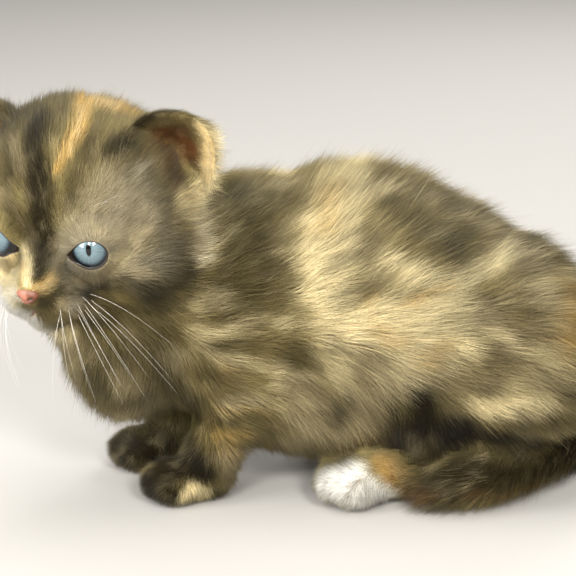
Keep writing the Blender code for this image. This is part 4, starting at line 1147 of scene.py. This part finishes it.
def lidSurface(side, label, step, height, polar, around):
    # from the rim's outline outwards over the ball by step, standing off the ball by height and a little more
    # along the upper lid
    tilt = polar + step * (math.radians(lidMake["out"]) - polar)
    ways = waysRound(eyeAxes(side), tilt, around)
    raised = np.clip((height - lidMake["foldAbove"]) * lidMake["foldRise"], 0, 1)
    fold = lidMake["upperFold"] * np.maximum(np.sin(around), 0) * raised
    return middleOf("eye_" + label) + ways * (eyeMake["radius"] + height + fold)[..., None], ways


def makeLids(side, label, material, coatMaterial):
    # a sheet from the rim outwards round the opening
    columns = lidMake["columns"]
    polar, around = lidOutline(columns)
    step = np.array(lidMake["step"])[:, None]
    height = np.array(lidMake["height"])[:, None] * np.ones((1, columns))
    grid, _ = lidSurface(side, label, step, height, polar[None], around[None])
    piece = gridPiece("lids_" + label, grid, flip=side < 0)
    rim = np.stack(np.broadcast_arrays(step, height, height), axis=-1)
    keepVectors(piece, "lidPlace", rim.reshape(-1, 3))
    headShare = np.eye(len(groups))[groups.index("head")]
    keepTones(piece, toned(grid.reshape(-1, 3), np.tile(headShare, (height.size, 1))))
    smoother = piece.modifiers.new("rounded", "SUBSURF")
    smoother.levels = smoother.render_levels = 1
    piece.data.materials.append(material)
    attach(piece, "root")

    # short hair on the lids, lying away from the opening and longer further out
    count = lidMake["hairs"]
    turn = rng.random(count) * 2 * math.pi
    ring = np.linspace(0, 2 * math.pi, columns + 1)
    itsPolar = np.interp(turn, ring, np.append(polar, polar[0]))
    itsAround = np.interp(turn, ring, np.unwrap(np.append(around, around[0] + 2 * math.pi)))
    step = lidMake["hairFrom"] + lidMake["hairSpan"] * rng.random(count)
    height = np.interp(step, lidMake["step"], lidMake["height"])
    roots, ways = lidSurface(side, label, step, height, itsPolar, itsAround)
    further, _ = lidSurface(side, label, step + lidMake["hairAim"], height, itsPolar, itsAround)
    lie, out = further - roots, eyeAxes(side)[0]
    lie = unit(lie - lidMake["hairLaidFlat"] * (lie @ out)[:, None] * out)
    shares = np.tile(headShare, (count, 1))
    make = {"axis": (0, 1, 0), "slot": "olive_brown_coat", "width": 0.85}
    length = np.interp(step, lidMake["hairGrows"], lidMake["hairLength"])
    combing = lie, length, np.full(count, float(lidMake["hairLift"]))
    makeTufts("coatLids_" + label, roots, ways, shares, combing, coatMaterial, make)


def makeLidMaterial():
    # bare rim of the lids: near black and moist at the edge, with creases of 0.55 mm (1800 in a metre);
    # outside it the coat's own tones, darkened by painted shade under the lid hair
    material, tree, shader = newMaterial("pigmentedLidSkin")
    place = addNode(tree, "TexCoord", {}, {}).outputs["Object"]
    crease = addNode(tree, "TexNoise", {}, {"Vector": place, "Scale": 1800.0, "Detail": 4.0}).outputs[0]
    rim = addNode(tree, "Attribute", {"attribute_name": "lidPlace"}, {}).outputs["Vector"]
    step = addNode(tree, "SeparateXYZ", {}, {0: rim}).outputs[0]
    outer = addNode(tree, "MapRange", eased, {0: step, 1: 0.035, 2: 0.08}).outputs[0]
    dark = addNode(tree, "Mix", blend, {0: crease, 6: fromHex("#0c0906"), 7: fromHex("#241a12")})
    # painted shade: the coat's tones darkened for lying under the lid hair
    coat = addNode(tree, "Mix", multiply, {0: 1.0, 6: toneColour(tree), 7: fromHex("#b8b0a8")})
    colour = addNode(tree, "Mix", blend, {0: outer, 6: dark.outputs[2], 7: coat.outputs[2]})
    bump = addNode(tree, "Bump", {}, {"Strength": 0.4, "Distance": 0.0002, "Height": crease})
    plug(tree, shader, {"Base Color": colour.outputs[2], "Normal": bump.outputs[0], "Roughness": 0.35})
    return material


# nose

noseMake = {
    "middle": (31.6, 0.0, -7.2), "wide": 3.3, "high": 2.6, "deep": 2.3, "bare": 2.7, "grid": (60, 72),
    "narrowest": 0.62, "widens": 0.38, "widensOver": (-0.9, 0.3), "dentNarrows": 0.25,
    "groove": 0.14, "grooveWide": 0.07, "grooveOver": (0.1, -0.5),
}
# a nostril and the slit beside it: depth, place across and up, half width, half height and slant
noseDents = ((0.50, 0.50, -0.12, 0.23, 0.20, 0.25), (0.16, 0.85, -0.25, 0.2, 0.12, 0.0))


def makeNose(material):
    # a ball squeezed to a rounded triangle, wide above, with a groove in the middle below; a dent takes
    # depth · e^-(across² + up²) away, with both as shares of its half width and half height
    polar, around = polarGrid(*noseMake["grid"])
    x, y, z = np.cos(polar), np.sin(polar) * np.cos(around), np.sin(polar) * np.sin(around)
    narrow = noseMake["narrowest"] + noseMake["widens"] * easedStep(*noseMake["widensOver"], z)
    depth = np.ones_like(x)
    for side in (-1, 1):
        for deep, across, up, halfWide, halfHigh, slant in noseDents:
            inDent = ((y - across * side) / halfWide) ** 2
            inDent += ((z - up - slant * (np.abs(y) - across)) / halfHigh) ** 2
            depth -= deep * np.exp(-inDent) * (x > 0)
    groove = noseMake["groove"] * np.exp(-((y / noseMake["grooveWide"]) ** 2))
    depth -= groove * easedStep(*noseMake["grooveOver"], z) * (x > 0)
    pinched = 1 - noseMake["dentNarrows"] + noseMake["dentNarrows"] * depth
    local = np.stack((
        x * noseMake["deep"] * depth, y * noseMake["wide"] * narrow * pinched, z * noseMake["high"],
    ), axis=-1) + np.array(noseMake["middle"])
    piece = gridPiece("noseLeather", fromHead(local), poles=True)
    keepVectors(piece, "noseDepth", polesOf(np.stack((depth, y, z), axis=-1)))
    piece.data.materials.append(material)
    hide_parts("nose")
    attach(piece, "root")


def makeNoseMaterial():
    # nose leather: moist skin with pebbles of 0.31 mm (3200 in a metre) and blotches of 2 mm (500), pink on
    # the kitten's right and brown on its left, with painted shade in the nostrils
    material, tree, shader = newMaterial("moistNoseLeather")
    depth = addNode(tree, "Attribute", {"attribute_name": "noseDepth"}, {}).outputs["Vector"]
    split = addNode(tree, "SeparateXYZ", {}, {0: depth}).outputs
    place = addNode(tree, "TexCoord", {}, {}).outputs["Object"]
    grain = addNode(tree, "TexVoronoi", {}, {"Vector": place, "Scale": 3200.0}).outputs[0]
    # painted shade: near black where a nostril dents the leather
    paintedNostrilShade = addNode(tree, "MapRange", {}, {0: split[0], 1: 0.55, 2: 0.95, 3: 1.0, 4: 0.0}).outputs[0]
    blotch = addNode(tree, "TexNoise", {}, {"Vector": place, "Scale": 500.0}).outputs[0]
    edge = addNode(tree, "Math", {"operation": "MULTIPLY_ADD"}, {0: blotch, 1: 0.6, 2: split[1]})
    brown = addNode(tree, "MapRange", eased, {0: edge.outputs[0], 1: 0.35, 2: 0.75}).outputs[0]
    colour = addNode(tree, "Mix", blend, {0: blotch, 6: fromHex("#a66c56"), 7: fromHex("#824e3c")})
    for share, code in ((brown, "#6d3f2c"), (paintedNostrilShade, "#24100b")):
        colour = addNode(tree, "Mix", blend, {0: share, 6: colour.outputs[2], 7: fromHex(code)})
    bump = addNode(tree, "Bump", {}, {"Strength": 0.35, "Distance": 0.00015, "Height": grain})
    plug(tree, shader, {
        "Base Color": colour.outputs[2], "Normal": bump.outputs[0], "Roughness": 0.42,
        "Subsurface Weight": 0.1, "Subsurface Radius": (0.0010, 0.0004, 0.0003),
    })
    return material


# mouth: the dark line where the lips meet, laid on the skin from under the nose to the cheeks

mouthMake = {
    "middle": (24.0, 0.0, -17.0), "within": 22, "aim": (10.0, 0.0, -10.0), "radius": 0.42, "bare": 0.55,
    "sunk": 0.10, "perLink": 4, "columns": 12, "ends": (0.3, 0.15),
    "route": (
        (40, 0, -11.5), (40, 0.1, -14.2), (39, 2.2, -17.0), (36, 6.5, -18.8), (30, 11.5, -18.3),
        (24, 15.5, -16.5),
    ),
}


def findMouthLine(points, faces, side):
    # the route is laid on the skin along lines to the middle of the jaw, with some places to each link
    tree = BVHTree.FromPolygons(points.tolist(), faces.tolist())
    aim = Vector(fromHead(mouthMake["aim"]))
    route = np.array(mouthMake["route"]) * (1, side, 1)
    links = len(route) - 1
    steps = np.linspace(0, links, mouthMake["perLink"] * links + 1)
    places = np.stack([np.interp(steps, np.arange(len(route)), route[:, k]) for k in range(3)], axis=1)
    laid = []
    for place in fromHead(places):
        start = Vector(place)
        hit, normal, _, _ = tree.ray_cast(start, (aim - start).normalized())
        laid.append(np.array(hit - normal * mouthMake["sunk"]))
    return np.array(laid)


def makeMouth(lines, material):
    # a round bead of lip skin swept along each line; its radius goes as a sine that is low at both ends
    start, end = mouthMake["ends"]
    for label, line in zip(("right", "left"), lines):
        along = unit(np.gradient(line, axis=0))
        across = unit(np.cross(along, directionFromHead((1.0, 0.0, 0.0))))
        out = np.cross(across, along)
        turn = np.linspace(0, 2 * math.pi, mouthMake["columns"], endpoint=False)[None, :, None]
        thin = np.sin(np.linspace(start, math.pi - end, len(line)))[:, None, None] * mouthMake["radius"]
        grid = line[:, None] + (across[:, None] * np.cos(turn) + out[:, None] * np.sin(turn)) * thin
        piece = gridPiece("lips_" + label, grid)
        piece.data.materials.append(material)
        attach(piece, "root")


def makeLipMaterial():
    # lip skin: dark pinkish brown, moist, with creases of 0.67 mm (1500 in a metre)
    material, tree, shader = newMaterial("moistLipSkin")
    place = addNode(tree, "TexCoord", {}, {}).outputs["Object"]
    crease = addNode(tree, "TexNoise", {}, {"Vector": place, "Scale": 1500.0}).outputs[0]
    colour = addNode(tree, "Mix", blend, {0: crease, 6: fromHex("#4a2a20"), 7: fromHex("#7a4c3e")})
    plug(tree, shader, {"Base Color": colour.outputs[2], "Roughness": 0.4})
    return material


# whiskers

whiskerMake = {
    "rows": 3, "each": 5, "overEye": 3, "width": 0.075, "bends": 11, "spread": 0.09, "lengths": (0.8, 0.35),
}
# each line of numbers: those of the first one, what the way back along its row adds, or the next one over
# the brow, and what each row down adds
cheekWhiskers = {
    "root": ((30.0, 8.0, -10.0), (-7.5, 5.0, 0.0), (0.0, 0.0, -2.0)),
    "way": ((0.55, 0.18, -0.70), (-0.45, 0.60, 0.45), (0.0, 0.0, -0.12)),
    "sag": ((-0.48, -0.16, -0.58), (0.0, 0.0, -0.20), (0.0, 0.0, 0.0)),
    "length": 17.6, "longer": 5.5,
}
browWhiskers = {
    "root": ((16.0, 11.0, 10.5), (0.0, 1.6, 0.0), (0.0, 0.0, 0.0)),
    "way": ((0.35, 0.25, 0.9), (0.0, 0.25, 0.0), (0.0, 0.0, 0.0)),
    "sag": ((-0.2, 0.2, -0.35), (0.0, 0.0, 0.0), (0.0, 0.0, 0.0)),
    "length": 11.0, "longer": 1.0,
}


def makeWhiskers(material):
    # each runs out of its pad along its way · s and sags by sag · s²; a small brow bunch stands over each eye
    last = whiskerMake["each"] - 1
    cheek = [(cheekWhiskers, k / last, row) for row in range(whiskerMake["rows"]) for k in range(last + 1)]
    brow = [(browWhiskers, k, 0) for k in range(whiskerMake["overEye"])]
    every = [(side, *one) for side in (-1, 1) for one in cheek + brow]

    def gather(key):
        # first + back · onwards + row · downwards, mirrored for the other side
        found = []
        for side, make, back, row in every:
            first, onwards, downwards = np.array(make[key])
            found.append((first + back * onwards + row * downwards) * (1, side, 1))
        return np.array(found)

    roots, ways = fromHead(gather("root")), directionFromHead(unit(gather("way")))
    sags = directionFromHead(gather("sag"))
    shortest, more = whiskerMake["lengths"]
    lengths = np.array([make["length"] + back * make["longer"] for _, make, back, _ in every])
    lengths = lengths * (shortest + more * rng.random(len(every)))
    ways = unit(ways + rng.normal(0, whiskerMake["spread"], ways.shape))
    s = np.linspace(0, 1, whiskerMake["bends"])[None, :, None]
    path = roots[:, None] + (ways[:, None] * s + sags[:, None] * s**2) * lengths[:, None, None]
    side = unit(np.cross(ways, (0.1, 0.2, 1.0)))
    taper = np.interp(s[0, :, 0], (0, 0.1, 1), (1, 1, 0.3))
    width = whiskerMake["width"] * taper[None] * np.ones((len(roots), 1))
    vertices, triangles, _ = tuftArrays(path, width, side, 1.0)
    piece = meshFromArrays("whiskers", vertices, triangles)
    piece.data.materials.append(material)
    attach(piece, "root")


def makeWhiskerMaterial():
    # whisker keratin: stiff white hair, smoother and glossier than the coat, its tint changing over 8 mm (120
    # in a metre)
    material, tree, shader = newMaterial("whiskerKeratin")
    place = addNode(tree, "TexCoord", {}, {}).outputs["Object"]
    tint = addNode(tree, "TexNoise", {}, {"Vector": place, "Scale": 120.0}).outputs[0]
    colour = addNode(tree, "Mix", blend, {0: tint, 6: fromHex("#fbf8f0"), 7: fromHex("#e6dccb")})
    plug(tree, shader, {"Base Color": colour.outputs[2], "Roughness": 0.35})
    return material


# floor and light; a lamp has its place and size in metres, its power in watts and its colour

studio = {
    "floor": "#b2afaa", "reach": 4000, "places": 9, "world": "#f6f4f0", "worldStrength": 0.42,
    "lampsAim": (0, 0, 0.05),
}
lamps = {
    "leftSoftbox": ((-0.32, -0.98, 0.66), 0.26, 11.0, "#fffdf8"),
    "rightSoftbox": ((0.32, -0.98, 0.66), 0.26, 12.5, "#fffdf8"),
    "sideSoftbox": ((-0.95, -0.55, 0.35), 0.50, 13.0, "#ffffff"),
    "leftCatchLight": ((-0.20, -0.95, 0.48), 0.06, 1.2, "#ffffff"),
    "rightCatchLight": ((0.20, -0.95, 0.48), 0.06, 1.2, "#ffffff"),
    "topSoftbox": ((-0.10, 0.05, 1.10), 0.80, 7.5, "#ffffff"),
    "backSoftbox": ((0.40, 0.80, 0.70), 0.50, 5.0, "#ffffff"),
}


def makeStage():
    # a level floor, large enough to fill the view behind the kitten, and an even grey-white world
    places = studio["places"]
    across = np.linspace(-studio["reach"], studio["reach"], places)
    grid = np.stack((*np.meshgrid(across, across, indexing="ij"), np.zeros((places, places))), axis=-1)
    floor = gridPiece("studioFloor", grid, closedAround=False)
    material, tree, shader = newMaterial("matPaper")
    plug(tree, shader, {"Base Color": fromHex(studio["floor"]), "Roughness": 0.9})
    floor.data.materials.append(material)
    world = bpy.data.worlds.new("studioWorld")
    world.use_nodes = True
    background = world.node_tree.nodes["Background"]
    plug(world.node_tree, background, {0: fromHex(studio["world"]), 1: studio["worldStrength"]})
    bpy.context.scene.world = world
    bpy.context.scene.view_settings.view_transform = "Standard"


def lightStage():
    # square soft lamps, all turned to a place in the middle of the kitten
    for name, (place, size, power, colour) in lamps.items():
        lamp = bpy.data.lights.new(name, "AREA")
        lamp.size = size
        lamp.energy = power
        lamp.color = fromHex(colour)[:3]
        stand = bpy.data.objects.new(name, lamp)
        bpy.context.scene.collection.objects.link(stand)
        stand.location = place
        way = Vector(studio["lampsAim"]) - Vector(place)
        stand.rotation_euler = way.to_track_quat("-Z", "Y").to_euler()


setCamera()
makeStage()
lightStage()
print("stage, light and camera ready")
coatMaterial = makeCoatMaterial()
skin, skinPoints, skinFaces, skinShares = makeSkin()
keepTones(skin, toned(skinPoints, skinShares))
skin.data.materials.append(makeSkinMaterial())
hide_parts(*[name for name in fleshNodes() if name != "nose"])
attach(skin, "root")
print("skin of", len(skinFaces), "faces")
mouthLines = [findMouthLine(skinPoints, skinFaces, side) for side in (-1, 1)]
growCoat(skinPoints, skinFaces, skinShares, coatMaterial, np.concatenate(mouthLines))
eyeMaterial, lidMaterial = makeEyeMaterial(), makeLidMaterial()
for side, label in ((1, "left"), (-1, "right")):
    makeEye(side, label, eyeMaterial)
    makeLids(side, label, lidMaterial, coatMaterial)
makeNose(makeNoseMaterial())
makeMouth(mouthLines, makeLipMaterial())
makeWhiskers(makeWhiskerMaterial())
print("eyes, nose and whiskers ready")
